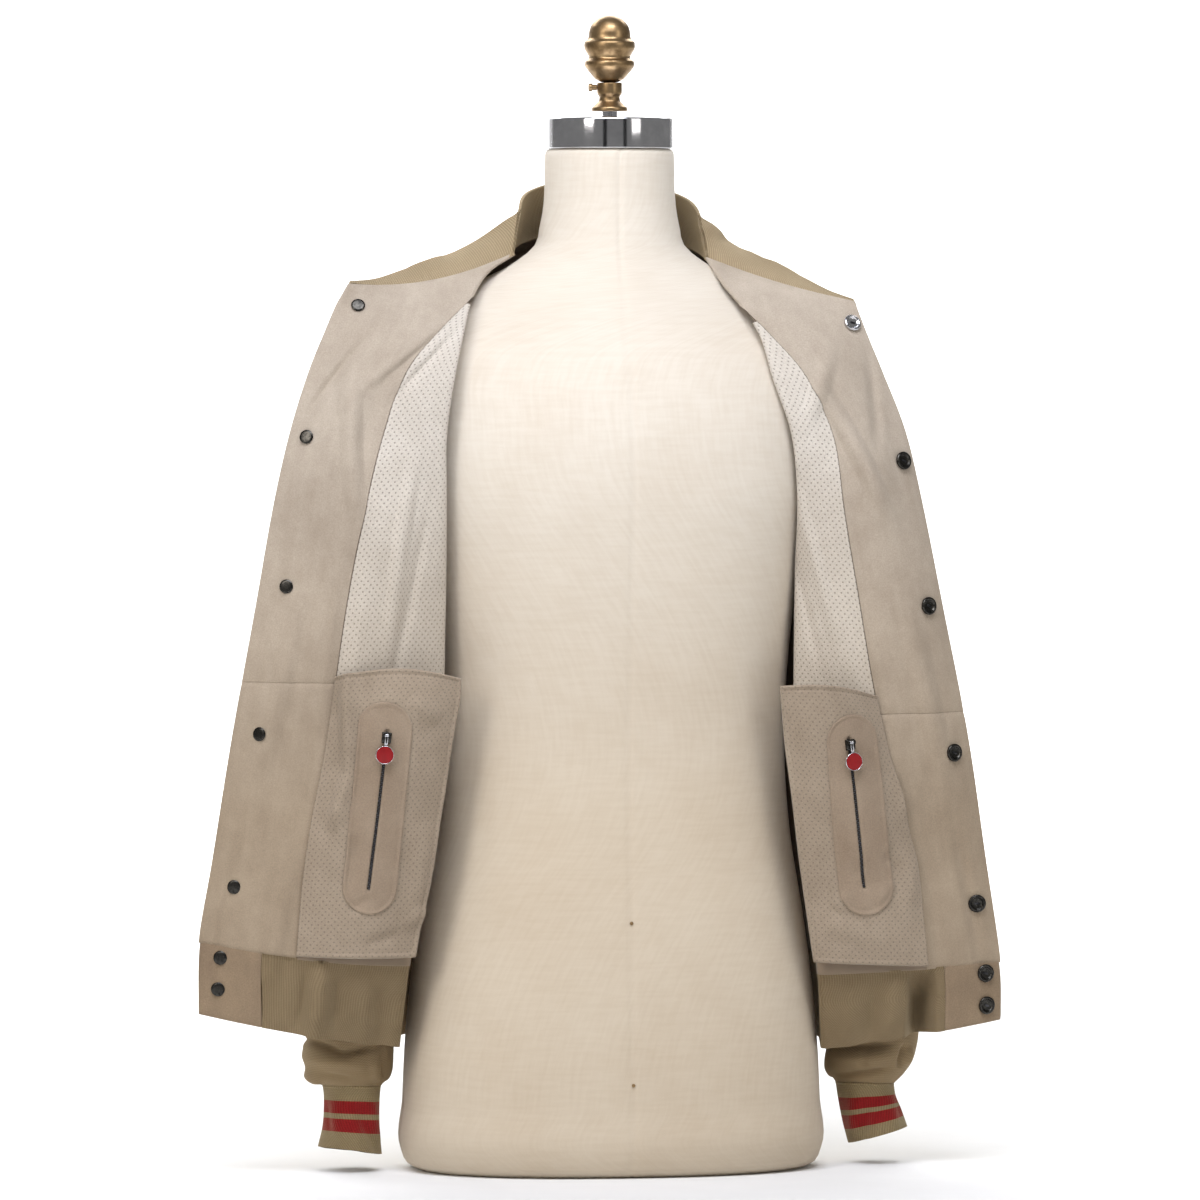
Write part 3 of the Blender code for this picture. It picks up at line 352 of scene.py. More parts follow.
SNAPS = {
    # x, z as seen from in front, and how much higher than usual the snap sits
    LEFT: [
        (-221, 723, 0), (-266, 615, 0.3), (-284, 492, -0.3), (-306, 370, -0.6), (-326, 243, -0.2),
        (-337, 184, -0.2), (-339, 158, -0.1),
    ],
    RIGHT: [
        (194, 708, -0.2), (233, 594, 0.3), (254, 473, -0.1), (277, 350, -0.2), (300, 223, -0.1),
        (307, 164, -0.2), (308, 137, -0.2),
    ],
}
STUD_RADIUS, SOCKET_RADIUS = 5.8, 7.5
SNAP_SEAT = INNER_FACE + GAP + 0.15

# %% [markdown]
# ## Curves and surfaces
#
# A table gives a few heights. A smooth cubic through them gives every height between, and the same
# idea along each row gives a surface: a grid of points with a normal at each. Pieces are then cut out
# of that surface as a maker cuts them out of hide, so neighbours meet at their seams.

# %% Curve helpers
def through(knots, values, at):
    """Smooth values at the places `at`, through a table's values at its knots (cubic Hermite)."""
    knots = np.asarray(knots, float)
    values = np.asarray(values, float)
    at = np.clip(np.asarray(at, float), knots[0], knots[-1])
    step = np.diff(knots)
    slope = np.diff(values, axis=0) / step[:, None]
    tangent = np.empty_like(values)
    tangent[0], tangent[-1] = slope[0], slope[-1]
    before = step[1:, None] / (step[:-1] + step[1:])[:, None]
    tangent[1:-1] = slope[:-1] * before + slope[1:] * (1 - before)
    i = np.clip(np.searchsorted(knots, at, side="right") - 1, 0, len(step) - 1)
    t = ((at - knots[i]) / step[i])[:, None]
    h = step[i][:, None]
    return (
        (2 * t**3 - 3 * t**2 + 1) * values[i]
        + (t**3 - 2 * t**2 + t) * h * tangent[i]
        + (3 * t**2 - 2 * t**3) * values[i + 1]
        + (t**3 - t**2) * h * tangent[i + 1]
    )


def by_row(table, at):
    """Smooth rows of a table, for row numbers that may lie between two of its rows."""
    return through(np.arange(len(table)), table, at)


def by_first(table, at):
    """Smooth rows of a table without their first column, for values of that column."""
    return through([row[0] for row in table], [row[1:] for row in table], at)


def share_lengths(line):
    """How far along the line each of its points is."""
    return np.concatenate([[0], np.cumsum(np.linalg.norm(np.diff(line, axis=0), axis=1))])


def sampled(line, along, at):
    """The places on a line at `at`, where `along` says how far along it each of its points is."""
    return np.stack([np.interp(at, along, line[:, axis]) for axis in range(3)], axis=1)


def even(line, count):
    """The line again, with that many points evenly spaced along it."""
    along = share_lengths(line)
    return sampled(line, along, np.linspace(0, along[-1], count))


def unit(vectors):
    """The vectors, each made 1 long."""
    return vectors / np.maximum(np.linalg.norm(vectors, axis=-1, keepdims=True), 1e-9)


def window(value, low, high):
    """0 outside low to high, rising smoothly to 1 between them."""
    share = np.clip((value - low) / (high - low), 0, 1)
    return np.sin(math.pi * share) ** 2


def joined(left, right):
    """One line from the left end to the right end, out of two that both run to the middle."""
    return np.concatenate([left, right[::-1][1:]])


def closed_up(grid):
    """The grid of a closed piece with its first column again at its end."""
    return np.concatenate([grid, grid[:, :1]], axis=1)


def grid_normals(grid, closed=False):
    """Unit normals of a grid of points; closed joins each row's ends."""
    if closed:
        across = np.roll(grid, -1, axis=1) - np.roll(grid, 1, axis=1)
    else:
        across = np.gradient(grid, axis=1)
    return unit(np.cross(across, np.gradient(grid, axis=0)))

# %% The surface of a turned front
def armhole(side, z, back):
    """The armhole's edge at that height, at the front or the back."""
    middle_z = (ARMHOLE_TOP[1] + ARMHOLE_LOW[1]) / 2
    half = (ARMHOLE_TOP[1] - ARMHOLE_LOW[1]) / 2
    up = max(-1.0, min(1.0, (z - middle_z) / half))
    out = (ARMHOLE_TOP[0] + ARMHOLE_LOW[0]) / 2 + up * (ARMHOLE_TOP[0] - ARMHOLE_LOW[0]) / 2
    depth = ARMHOLE_DEPTH * math.sqrt(1 - up * up)
    return (side * out, ARMHOLE_Y + (depth if back else -depth), z)


def side_point(side, z, back=False):
    """Where a front meets the back at that height: the side seam, or the armhole above it."""
    if z > ARMHOLE_LOW[1]:
        return armhole(side, z, back)
    hem = FRONTS[LEFT][HEM_ROW][SIDE_Z]
    share = (z - hem) / (ARMHOLE_LOW[1] - hem)
    out = SIDE_X + (ARMHOLE_LOW[0] - SIDE_X) * share
    return (side * out, SIDE_Y + (ARMHOLE_Y - SIDE_Y) * share**3, z)


def fold_forward(side, place, z):
    """How far the folds push the front forward, at places from the snap edge."""
    forward = np.zeros_like(place)
    for fold_side, middle, slant, half_width, push, z_low, z_high in FOLDS:
        if fold_side == side:
            at = middle + slant * (z - (z_low + z_high) / 2)
            shape = np.clip(1 - ((place - at) / half_width) ** 2, 0, 1) ** 2
            forward += push * shape * window(z, z_low, z_high)
    return forward


def front_surface(side):
    """Points and normals of a front's middle layer. The normals point to its inside, as worn."""
    rows = np.arange(0, TOP_ROW + 1e-9, 1 / STEPS)
    values = by_row(FRONTS[side], rows)
    grid = []
    for ex, ey, ez, rx, ry, rz, side_z, bulge, sag, _ in values:
        share = np.linspace(0, 1, EDGE_POINTS + 1)[:, None]
        edge, roll = np.array([ex, ey, ez]), np.array([rx, ry, rz])
        front = edge + (roll - edge) * share
        hump = (4 * share * (1 - share))[:, 0]
        front[:, 1] -= bulge * hump
        front[:, 2] -= sag * hump
        front = even(front, EDGE_POINTS + 1)
        share = np.linspace(0, 1, SIDE_POINTS + 1)[1:, None]
        behind = roll + (np.array(side_point(side, side_z)) - roll) * share
        line = np.concatenate([front, behind])
        for _ in range(CORNER_SOFTENING):
            line[1:-1] = (line[:-2] + 2 * line[1:-1] + line[2:]) / 4
        place = share_lengths(line)
        line[:, 1] -= fold_forward(side, place, ez)
        grid.append(line)
    grid = np.array(grid)
    across, up = np.gradient(grid, axis=1), np.gradient(grid, axis=0)
    normals = unit(np.cross(across, up)) * -side
    return {"rows": rows, "points": grid, "normals": normals, "facing": values[:, FACING]}


def cut(surface, rows, shares, out):
    """Points of a piece of a front, for rows of the table and, in each row, shares of the way from
    the edge (0) by the roll (1) to the side (2), moved out by that much from the middle layer."""
    grid = []
    for row, row_shares in zip(rows, shares):
        i = min(int(row * STEPS), len(surface["points"]) - 2)
        t = row * STEPS - i
        line, normals = (
            surface[key][i] * (1 - t) + surface[key][i + 1] * t for key in ("points", "normals")
        )
        w = np.asarray(row_shares, float)
        index = np.where(w <= 1, w * EDGE_POINTS, EDGE_POINTS + (w - 1) * SIDE_POINTS)
        own = np.arange(len(line))
        grid.append(sampled(line, own, index) + unit(sampled(normals, own, index)) * out)
    return np.array(grid)


def at_row(surface, key, row):
    """One of a surface's columns at a row of the table."""
    return float(np.interp(row, surface["rows"], surface[key]))


def seen_at(point, normal, x, z):
    """The point, slid along the plane across its normal until it is seen at (x, z)."""
    move = np.array([x - point[0], 0, z - point[2]])
    move[1] = -(normal[0] * move[0] + normal[2] * move[2]) / normal[1]
    return point + move


def closest(points, x, z):
    """The row and column of the point of a grid that is seen closest to (x, z)."""
    off = (points[..., 0] - x) ** 2 + (points[..., 2] - z) ** 2
    return np.unravel_index(off.argmin(), off.shape)


def nearest(surface, x, z):
    """The point of a front's visible part that is seen at (x, z), and its normal."""
    points = surface["points"][:, : EDGE_POINTS + 1]
    normals = surface["normals"][:, : EDGE_POINTS + 1]
    i, j = closest(points, x, z)
    return seen_at(points[i, j], normals[i, j], x, z), normals[i, j]


def lining_top(surface):
    """The row of the table at which the facing has reached the roll, so the lining ends."""
    rows = surface["rows"]
    return float(rows[np.argmax(surface["facing"] > 0.95)])


surfaces = {side: front_surface(side) for side in (LEFT, RIGHT)}
print("front surfaces:", surfaces[LEFT]["points"].shape)

# %% The surface of the back
def back_row(row):
    """Points across the back at one row of the tables, from the left side to the right."""
    centre_y, centre_z, fullness = by_row(BACK, [row])[0]
    halves = []
    for side in (LEFT, RIGHT):
        side_z = float(by_row(FRONTS[side], [row])[0][SIDE_Z])
        start = np.array(side_point(side, side_z, back=True))
        half = []
        for i in range(BACK_HALF + 1):
            angle = math.pi / 2 * i / BACK_HALF
            c, s = math.cos(angle) ** (2 / fullness), math.sin(angle) ** (2 / fullness)
            z = start[2] + (centre_z - start[2]) * s
            half.append((start[0] * c, start[1] + (centre_y - start[1]) * s, z))
        halves.append(np.array(half))
    return joined(*halves)


def back_top():
    """The top edge of the back: the shoulder seam, the back neckline and the other shoulder seam."""
    halves = []
    centre_y, centre_z, _ = BACK[-1]
    for side in (LEFT, RIGHT):
        surface = surfaces[side]
        end, neck = surface["points"][-1][-1], surface["points"][-1][EDGE_POINTS]
        count = BACK_HALF // 2
        shoulder = [end + (neck - end) * i / count for i in range(count)]
        round_neck = []
        for i in range(BACK_HALF - count + 1):
            angle = math.pi / 2 * i / (BACK_HALF - count)
            z = neck[2] + (centre_z - neck[2]) * math.sin(angle)
            y = neck[1] + (centre_y - neck[1]) * math.sin(angle)
            round_neck.append((neck[0] * math.cos(angle), y, z))
        halves.append(np.array([*shoulder, *round_neck]))
    return joined(*halves)


def back_grid():
    """Points of the back panel, from its hem to the shoulder seams and the back of the neck."""
    rows = [SEAM_ROW + ROW_SEAM, *np.arange(SEAM_ROW + BACK_STEP, TOP_ROW - 0.45, BACK_STEP)]
    grid = [back_row(row) for row in rows]
    top = back_top()
    top += unit(grid[-1] - top) * SHOULDER_SEAM
    for share in (0.25, 0.5, 0.75, 1.0):
        grid.append(grid[len(rows) - 1] * (1 - share) + top * share)
    return inset_ends(np.array(grid), SIDE_SEAM)


def inset_ends(grid, by):
    """The grid with the ends of its rows drawn in by that much."""
    grid = grid.copy()
    for end, inner in ((0, 1), (-1, -2)):
        grid[:, end] += unit(grid[:, inner] - grid[:, end]) * by
    return grid

# %% [markdown]
# ## Colours and nodes
#
# Colours are read off as sRGB hex values, and Blender works in linear light, so one function turns
# them. One more function adds a shader node with its settings and links. Patterns on cloth use the
# piece's own UV map, which is laid out in metres along the cut cloth, so a hole or a rib has its real
# size wherever the cloth bends.

# %% Colour and node helpers
def colour(hex_value):
    """A linear RGBA colour from an sRGB hex value."""
    parts = [int(hex_value[i:i + 2], 16) / 255 for i in (1, 3, 5)]
    linear = [c / 12.92 if c <= 0.04045 else ((c + 0.055) / 1.055) ** 2.4 for c in parts]
    return (*linear, 1.0)


def add(tree, kind, inputs=None, **settings):
    """A new node. inputs maps a socket's name or number to a value or to another node's output."""
    made = tree.nodes.new(kind)
    for name, value in settings.items():
        setattr(made, name, value)
    for socket, value in (inputs or {}).items():
        if isinstance(value, bpy.types.NodeSocket):
            tree.links.new(value, made.inputs[socket])
        else:
            made.inputs[socket].default_value = value
    return made


def new_finish(name, **sockets):
    """A material with one Principled shader, its constant sockets set."""
    made = bpy.data.materials.new(name)
    made.use_nodes = True
    shader = made.node_tree.nodes["Principled BSDF"]
    for socket, value in sockets.items():
        shader.inputs[socket.replace("_", " ")].default_value = value
    return made, made.node_tree, shader


def own_place(tree):
    """Where each point of a piece is, in metres."""
    return add(tree, "ShaderNodeTexCoord").outputs["Object"]


def own_cut(tree):
    """Where each point of a piece of cloth lies on its flat cut, in metres."""
    return add(tree, "ShaderNodeUVMap", uv_map="cut").outputs[0]


def dress(tree, shader, base, height, strength, distance):
    """Gives a finish its colour and its relief, from a height and at most that many metres deep."""
    tree.links.new(base, shader.inputs["Base Color"])
    bump = add(tree, "ShaderNodeBump", {"Height": height, "Strength": strength, "Distance": distance})
    tree.links.new(bump.outputs[0], shader.inputs["Normal"])


def nap_noise(tree, place, size, detail=3.0, stretch=(1, 1, 1)):
    """Soft noise whose spots are about size metres across, stretched along the axes."""
    scaled = add(tree, "ShaderNodeMapping", {"Vector": place, "Scale": stretch})
    noise = add(
        tree, "ShaderNodeTexNoise",
        {"Vector": scaled.outputs[0], "Scale": 1 / size, "Detail": detail, "Roughness": 0.55},
    )
    return noise.outputs["Fac"]


def flecked(name, light, dark, spot, **sockets):
    """A finish whose colour drifts between two tones, in spots of that many metres."""
    made, tree, shader = new_finish(name, **sockets)
    grain = nap_noise(tree, own_place(tree), spot)
    tree.links.new(mixed(tree, grain, colour(light), colour(dark)), shader.inputs["Base Color"])
    return made


def remap(tree, value, low, high, to_low=0.0, to_high=1.0):
    """The value, with low to high spread over to_low to to_high."""
    made = add(
        tree, "ShaderNodeMapRange",
        {"Value": value, "From Min": low, "From Max": high, "To Min": to_low, "To Max": to_high},
    )
    return made.outputs["Result"]


def mixed(tree, factor, first, second, blend="MIX"):
    """The colour first, or second where the factor is 1."""
    made = add(
        tree, "ShaderNodeMix", {0: factor, 6: first, 7: second}, data_type="RGBA", blend_type=blend
    )
    return made.outputs[2]


def worked(tree, operation, first, second=0.0, third=0.0):
    """The result of an arithmetic node."""
    return add(
        tree, "ShaderNodeMath", {0: first, 1: second, 2: third}, operation=operation
    ).outputs[0]

# %% [markdown]
# ## Suede
#
# Suede is the flesh side of a hide, sanded to a short nap. It has no gloss, but it catches light at
# grazing angles, which is what sheen does. The nap lies a little differently from hand's breadth to
# hand's breadth, so the colour drifts, with faint streaks along the way that it was brushed. The
# lining and pockets are the same hide punched with a staggered grid of small holes.

# %% Suede, plain and perforated
HOLE_PITCH = (0.0055, 0.0059)     # between holes across and up; every second row is shifted
HOLE_RADIUS = 0.00068
HOLE_EDGE = 0.00026        # their soft edge
HEM_FACING = 0.024         # plain strip along the lining's lower edge


def hole_mask(tree, uv):
    """1 in a hole and 0 between the holes."""
    masks = []
    for shift in (0.0, 0.5):
        scaled = add(
            tree, "ShaderNodeMapping",
            {"Vector": uv, "Location": (shift, shift, 0),
             "Scale": (1 / HOLE_PITCH[0], 1 / HOLE_PITCH[1], 0)},
        )
        cell = add(tree, "ShaderNodeVectorMath", {0: scaled.outputs[0]}, operation="FRACTION")
        middle = add(
            tree, "ShaderNodeVectorMath", {0: cell.outputs[0], 1: (0.5, 0.5, 0)}, operation="SUBTRACT"
        )
        sized = add(
            tree, "ShaderNodeVectorMath", {0: middle.outputs[0], 1: (*HOLE_PITCH, 0)},
            operation="MULTIPLY",
        )
        away = add(tree, "ShaderNodeVectorMath", {0: sized.outputs[0]}, operation="LENGTH")
        inner, outer = HOLE_RADIUS - HOLE_EDGE, HOLE_RADIUS + HOLE_EDGE
        masks.append(remap(tree, away.outputs["Value"], inner, outer, 1.0, 0.0))
    return worked(tree, "MAXIMUM", *masks)


PAINTED_SHADE_FROM, PAINTED_SHADE_TO = 0.62, 0.30      # heights between which cloth is painted darker towards the bottom, as painted shade where the light from above falls off


def with_painted_low_shade(tree, place, base, low_shade_colour):
    """The base colour, multiplied by the shade colour lower down: painted shade where the light from above
    falls off.
    """
    height = add(tree, "ShaderNodeSeparateXYZ", {0: place}).outputs[2]
    share = remap(tree, height, PAINTED_SHADE_FROM, PAINTED_SHADE_TO, 0.0, 1.0)
    return mixed(tree, share, base, colour(low_shade_colour), "MULTIPLY")


def suede(name, light, dark, holes=0.0, hole_shade_colour="#4c4237", streaks=0.5, hem=None,
          painted_low_shade="#e4dccf"):
    """Brushed suede; holes is how dark its punched holes are painted, as painted shade inside them,
    and 0 leaves it plain. A hem is the colour of a plain strip along the lower edge."""
    made, tree, shader = new_finish(
        name, Roughness=0.92, Sheen_Weight=0.35, Sheen_Roughness=0.45, Sheen_Tint=colour("#efe6da"),
        IOR=1.45, Specular_IOR_Level=0.25,
    )
    place, uv = own_place(tree), own_cut(tree)
    drift = nap_noise(tree, place, 0.085, detail=2.0)
    blotch = nap_noise(tree, place, 0.018, detail=4.0)
    brushed = nap_noise(tree, uv, 0.010, detail=3.0, stretch=(1, 0.16, 1))
    grain = nap_noise(tree, place, 0.0011, detail=2.0)
    drift_share = worked(tree, "MULTIPLY", remap(tree, drift, 0.35, 0.68), 0.45)
    blotch_share = worked(tree, "MULTIPLY", remap(tree, blotch, 0.32, 0.70), 0.30)
    brushed_share = worked(tree, "MULTIPLY", remap(tree, brushed, 0.30, 0.72), streaks * 0.5)
    shade = worked(tree, "ADD", worked(tree, "ADD", drift_share, blotch_share), brushed_share)
    base = mixed(tree, shade, colour(light), colour(dark))
    # painted shade: each suede is painted darker lower down, where the light from above falls off
    base = with_painted_low_shade(tree, place, base, painted_low_shade)
    speckle = remap(tree, grain, 0.25, 0.75, 0.86, 1.10)
    speckled = mixed(tree, 1.0, base, add(
        tree, "ShaderNodeCombineColor", {"Red": speckle, "Green": speckle, "Blue": speckle}
    ).outputs[0], "MULTIPLY")
    height = worked(tree, "ADD", worked(tree, "MULTIPLY", blotch, 0.5), grain)
    if holes:
        mask = hole_mask(tree, uv)
        if hem:
            up = add(tree, "ShaderNodeSeparateXYZ", {0: uv}).outputs[1]
            strip = worked(tree, "LESS_THAN", up, HEM_FACING)
            speckled = mixed(tree, strip, speckled, colour(hem))
            mask = worked(tree, "MULTIPLY", mask, worked(tree, "SUBTRACT", 1.0, strip))
        share = worked(tree, "MULTIPLY", mask, holes)
        # painted shade: the holes are painted dark, for the shade in them and on the layer behind
        speckled = mixed(tree, share, speckled, colour(hole_shade_colour))
        height = worked(tree, "SUBTRACT", height, worked(tree, "MULTIPLY", mask, 1.6 * holes))
    dress(tree, shader, speckled, height, 0.35, 0.0005)
    return made


# Lower down each suede is painted darker, as painted shade; the pocket and welt get almost none.
suede_outer = suede("suede_outer_hide", "#a6988a", "#887968")
suede_facing = suede("suede_facing", "#b8ac9d", "#9c8f80")
suede_band = suede("suede_waistband_end", "#a3937f", "#89796a")
suede_lining = suede("suede_perforated_lining", "#d0c9bf", "#bab1a5",
                     holes=0.66, hole_shade_colour="#6f675e", streaks=0.2, hem="#8d7d6b")
suede_pocket = suede("suede_perforated_pocket", "#a19382", "#887a69",
                     holes=0.42, hole_shade_colour="#51473b", streaks=0.3, painted_low_shade="#fdfbf8")
suede_welt = suede("suede_welt", "#9b8b79", "#816f5d", streaks=0.2, painted_low_shade="#fdfbf8")

# %% [markdown]
# ## Rib knit
#
# The collar, waistband and cuffs are a fine wool rib. A rib is a column of small V-shaped stitches, so
# the knit is drawn as columns 2.1 mm apart, with a stitch every 1.5 mm up each column. The hollows
# between columns are painted darker, as painted shade, and the fibres stand up a little, which gives
# it the same soft sheen.

# %% Rib knit, plain and striped
RIB_PITCH = 0.0021         # metres from one rib to the next
STITCH_PITCH = 0.0015      # metres from one stitch to the next along a rib
STRIPES = ((0.0128, 0.0240), (0.0286, 0.0406))     # from the cuff's top, in metres


def rib_knit(name, light, dark, stripe=None, relief=0.55):
    """Rib knit whose ribs run along the UV map's second axis; stripe is the bands' colour."""
    made, tree, shader = new_finish(
        name, Roughness=0.95, Sheen_Weight=0.30, Sheen_Roughness=0.5, Sheen_Tint=colour("#d9c8a6"),
        IOR=1.45, Specular_IOR_Level=0.2,
    )
    place, uv = own_place(tree), own_cut(tree)
    parts = add(tree, "ShaderNodeSeparateXYZ", {0: uv})
    across, up = parts.outputs["X"], parts.outputs["Y"]
    rib = worked(tree, "SINE", worked(tree, "MULTIPLY", across, 2 * math.pi / RIB_PITCH))
    lean = worked(tree, "MULTIPLY", worked(tree, "ABSOLUTE", rib), 1.6)
    stitch_turns = worked(tree, "MULTIPLY", up, 2 * math.pi / STITCH_PITCH)
    stitch = worked(tree, "SINE", worked(tree, "ADD", stitch_turns, lean))
    fuzz = nap_noise(tree, place, 0.0016, detail=3.0)
    drift = nap_noise(tree, place, 0.05, detail=2.0)
    height = worked(
        tree, "ADD", worked(tree, "MULTIPLY", rib, 0.5), worked(tree, "MULTIPLY", stitch, 0.22)
    )
    height = worked(tree, "ADD", height, worked(tree, "MULTIPLY", fuzz, 0.5))
    # painted shade: the hollows between ribs and stitches are painted darker; the drift added below is the
    # yarn's own tone
    shade = remap(tree, height, -0.45, 0.95, 1.0, 0.0)
    shade = worked(tree, "MULTIPLY", shade, 0.75)
    shade = worked(tree, "ADD", shade, worked(tree, "MULTIPLY", remap(tree, drift, 0.3, 0.7), 0.25))
    base = mixed(tree, shade, colour(light), colour(dark))
    if stripe:
        ragged = worked(tree, "MULTIPLY_ADD", stitch, 0.0003, up)
        inside = None
        for low, high in STRIPES:
            band = worked(
                tree, "MULTIPLY",
                worked(tree, "GREATER_THAN", ragged, low), worked(tree, "LESS_THAN", ragged, high),
            )
            inside = band if inside is None else worked(tree, "MAXIMUM", inside, band)
        red = mixed(tree, shade, colour(stripe[0]), colour(stripe[1]))
        base = mixed(tree, inside, base, red)
    dress(tree, shader, base, height, relief, 0.0007)
    return made


# One rib in lit and shaded copies: the collar's is painted lighter and the lower ones darker, as painted
# light and shade from the light above
knit_collar_lit = rib_knit("knit_collar_lit", "#b2a184", "#85745a")
knit_band_shaded = rib_knit("knit_waistband_shaded", "#87765b", "#6d5d46", relief=0.35)
knit_sleeve_shaded = rib_knit("knit_sleeve_end", "#937f60", "#75634a", relief=0.35)
knit_cuff_shaded = rib_knit("knit_cuff_shaded", "#90805f", "#716148", ("#8c1519", "#6c0f12"))
print("knits:", [m.name for m in bpy.data.materials if m.name.startswith("knit")])

# %% [markdown]
# ## The form's cover, metals and enamel
#
# The form is covered in cream linen, a plain weave with slubs. The cap and rod are polished chrome,
# the finial is aged brass, the snaps are gunmetal: brass plated nearly black and polished. The zip is
# blackened metal, and its pull is a red glass-like enamel in a chrome rim.

# %% Linen, metals and enamel
THREAD_PITCH = 0.0011      # real thread is about 0.6 mm apart, drawn coarser so that it shows


def linen(name, light, dark):
    """Plain-woven linen with slubs both ways."""
    made, tree, shader = new_finish(
        name, Roughness=0.85, Sheen_Weight=0.12, IOR=1.45, Specular_IOR_Level=0.25
    )
    place, uv = own_place(tree), own_cut(tree)
    parts = add(tree, "ShaderNodeSeparateXYZ", {0: uv})
    threads = [
        worked(tree, "SINE", worked(tree, "MULTIPLY", parts.outputs[axis], 2 * math.pi / THREAD_PITCH))
        for axis in ("X", "Y")
    ]
    weave = worked(tree, "MULTIPLY", *threads)
    slub_across = nap_noise(tree, uv, 0.004, detail=2.0, stretch=(0.12, 1, 1))
    slub_up = nap_noise(tree, uv, 0.004, detail=2.0, stretch=(1, 0.12, 1))
    slubs = worked(tree, "ADD", slub_across, slub_up)
    drift = nap_noise(tree, place, 0.12, detail=3.0)
    shade = worked(tree, "ADD", worked(tree, "MULTIPLY", remap(tree, drift, 0.35, 0.7), 0.45),
                   worked(tree, "MULTIPLY", remap(tree, slubs, 0.8, 1.25), 0.35))
    # painted shade: the cover is painted darker lower down, where the light from above falls off
    base = with_painted_low_shade(tree, place, mixed(tree, shade, colour(light), colour(dark)), "#e9e2d7")
    height = worked(tree, "ADD", worked(tree, "MULTIPLY", weave, 0.3), slubs)
    dress(tree, shader, base, height, 0.25, 0.0004)
    return made


def metal(name, light, dark, roughness, spot=0.006, unevenness=0.08):
    """Metal whose colour and polish drift a little, as handling leaves them."""
    made, tree, shader = new_finish(name, Metallic=1.0)
    wear = nap_noise(tree, own_place(tree), spot, detail=4.0)
    base = mixed(tree, remap(tree, wear, 0.35, 0.68), colour(light), colour(dark))
    polish = remap(tree, wear, 0.3, 0.7, roughness, roughness + unevenness)
    tree.links.new(polish, shader.inputs["Roughness"])
    dress(tree, shader, base, wear, 0.05, 0.0003)
    return made


linen_cover = linen("linen_form_cover", "#ddd5c8", "#cfc3b2")
# Name, two tones, roughness, and then the size in metres and the strength of its worn spots.
chrome = metal("chrome_polished", "#d9d9dc", "#c2c2c6", 0.07, 0.02, 0.05)
brass = metal("brass_aged", "#a88d68", "#765f42", 0.30, 0.009, 0.16)
gunmetal = metal("gunmetal_plated", "#45433f", "#2b2a28", 0.20, 0.003, 0.12)
zip_metal = metal("zip_teeth_blackened", "#5b5b5e", "#2c2c2e", 0.28)

tape = flecked("zip_tape_cotton", "#3a342d", "#1f1b17", 0.0009, Roughness=0.9)
enamel = flecked("enamel_red", "#97060f", "#70040a", 0.004,
                 Roughness=0.35, IOR=1.4, Coat_Weight=0.15, Coat_Roughness=0.1)
print("materials:", len(bpy.data.materials))

# %% [markdown]
# ## How a piece of cloth is made
#
# A piece starts as a flat grid. Its UV map is the cut cloth laid flat, in metres, and each vertex is
# then moved to its place on the garment. Creases are soft troughs and ridges along short lines, given
# one by one. A Solidify modifier gives the wall its thickness. Two edges that are sewn together are
# tucked back a little, so that the seam shows as a fine groove and not as a gap.

# %% Cloth helpers
PIECES = {}


def finish_piece(name, mesh, finish, body=BODY, replaces=()):
    """The object of a finished mesh, attached to its body, with the frame's parts that it replaces hidden.
    """
    made = bpy.data.objects.new(name, mesh)
    bpy.context.scene.collection.objects.link(made)
    mesh.materials.append(finish)
    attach(made, body)
    if replaces:
        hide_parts(*replaces)
    PIECES[name] = made
    return made


def close_ends(steps, margin=0.0012):
    """Shares from 0 to 1, with an extra one close to each end, so that a cut edge shades crisply."""
    middle = np.linspace(0, 1, steps)
    return np.concatenate([[0, margin], middle[1:-1], [1 - margin, 1]])


def flat_map(grid):
    """Where each point of a grid lies on the flat cloth, as (along its row, up its column), in mm."""
    along = np.array([share_lengths(row) for row in grid])
    middle = grid.shape[1] // 2
    up = share_lengths(grid[:, middle])
    return np.stack([along, np.repeat(up[:, None], grid.shape[1], axis=1)], axis=2)


def add_creases(grid, normals, creases, flat=None):
    """Moves points along their normals. A crease is (from u, v, to u, v, half width, height), by
    (x, z) or in the coordinates that flat gives, and it fades out towards both its ends."""
    flat = grid[..., [0, 2]] if flat is None else flat
    height = np.zeros(grid.shape[:2])
    for u0, v0, u1, v1, half_width, rise in creases:
        start, run = np.array([u0, v0]), np.array([u1 - u0, v1 - v0])
        reach = np.linalg.norm(run)
        along = ((flat - start) @ run) / reach**2
        inside = np.clip(along, 0, 1)
        away = np.linalg.norm(flat - start - inside[..., None] * run, axis=2)
        fade = np.clip(1.15 * np.sin(math.pi * np.clip(along, 0.02, 0.98)), 0, 1)
        height += rise * np.exp(-((away / half_width) ** 2)) * fade
    return grid + normals * height[..., None]


def turned_back(normals):
    """The normals, turned so that those in the middle of the grid point away from the viewer."""
    return normals * np.sign(normals[len(normals) // 2, normals.shape[1] // 2, 1])


def tuck(grid, normals, edges, depth=0.9):
    """Bends the named edges (low, high, start, end) of a grid back by that much."""
    grid = grid.copy()
    for share, steps in ((1.0, 0), (0.72, 1), (0.15, 2)):      # the edge and the two lines beside it
        for edge in edges:
            index = {
                "low": (steps, slice(None)), "high": (-1 - steps, slice(None)),
                "start": (slice(None), steps), "end": (slice(None), -1 - steps),
            }[edge]
            grid[index] -= normals[index] * depth * share
    return grid


def mesh_of(name, bm):
    """A new mesh with what the bmesh holds."""
    mesh = bpy.data.meshes.new(name)
    bm.to_mesh(mesh)
    bm.free()
    return mesh


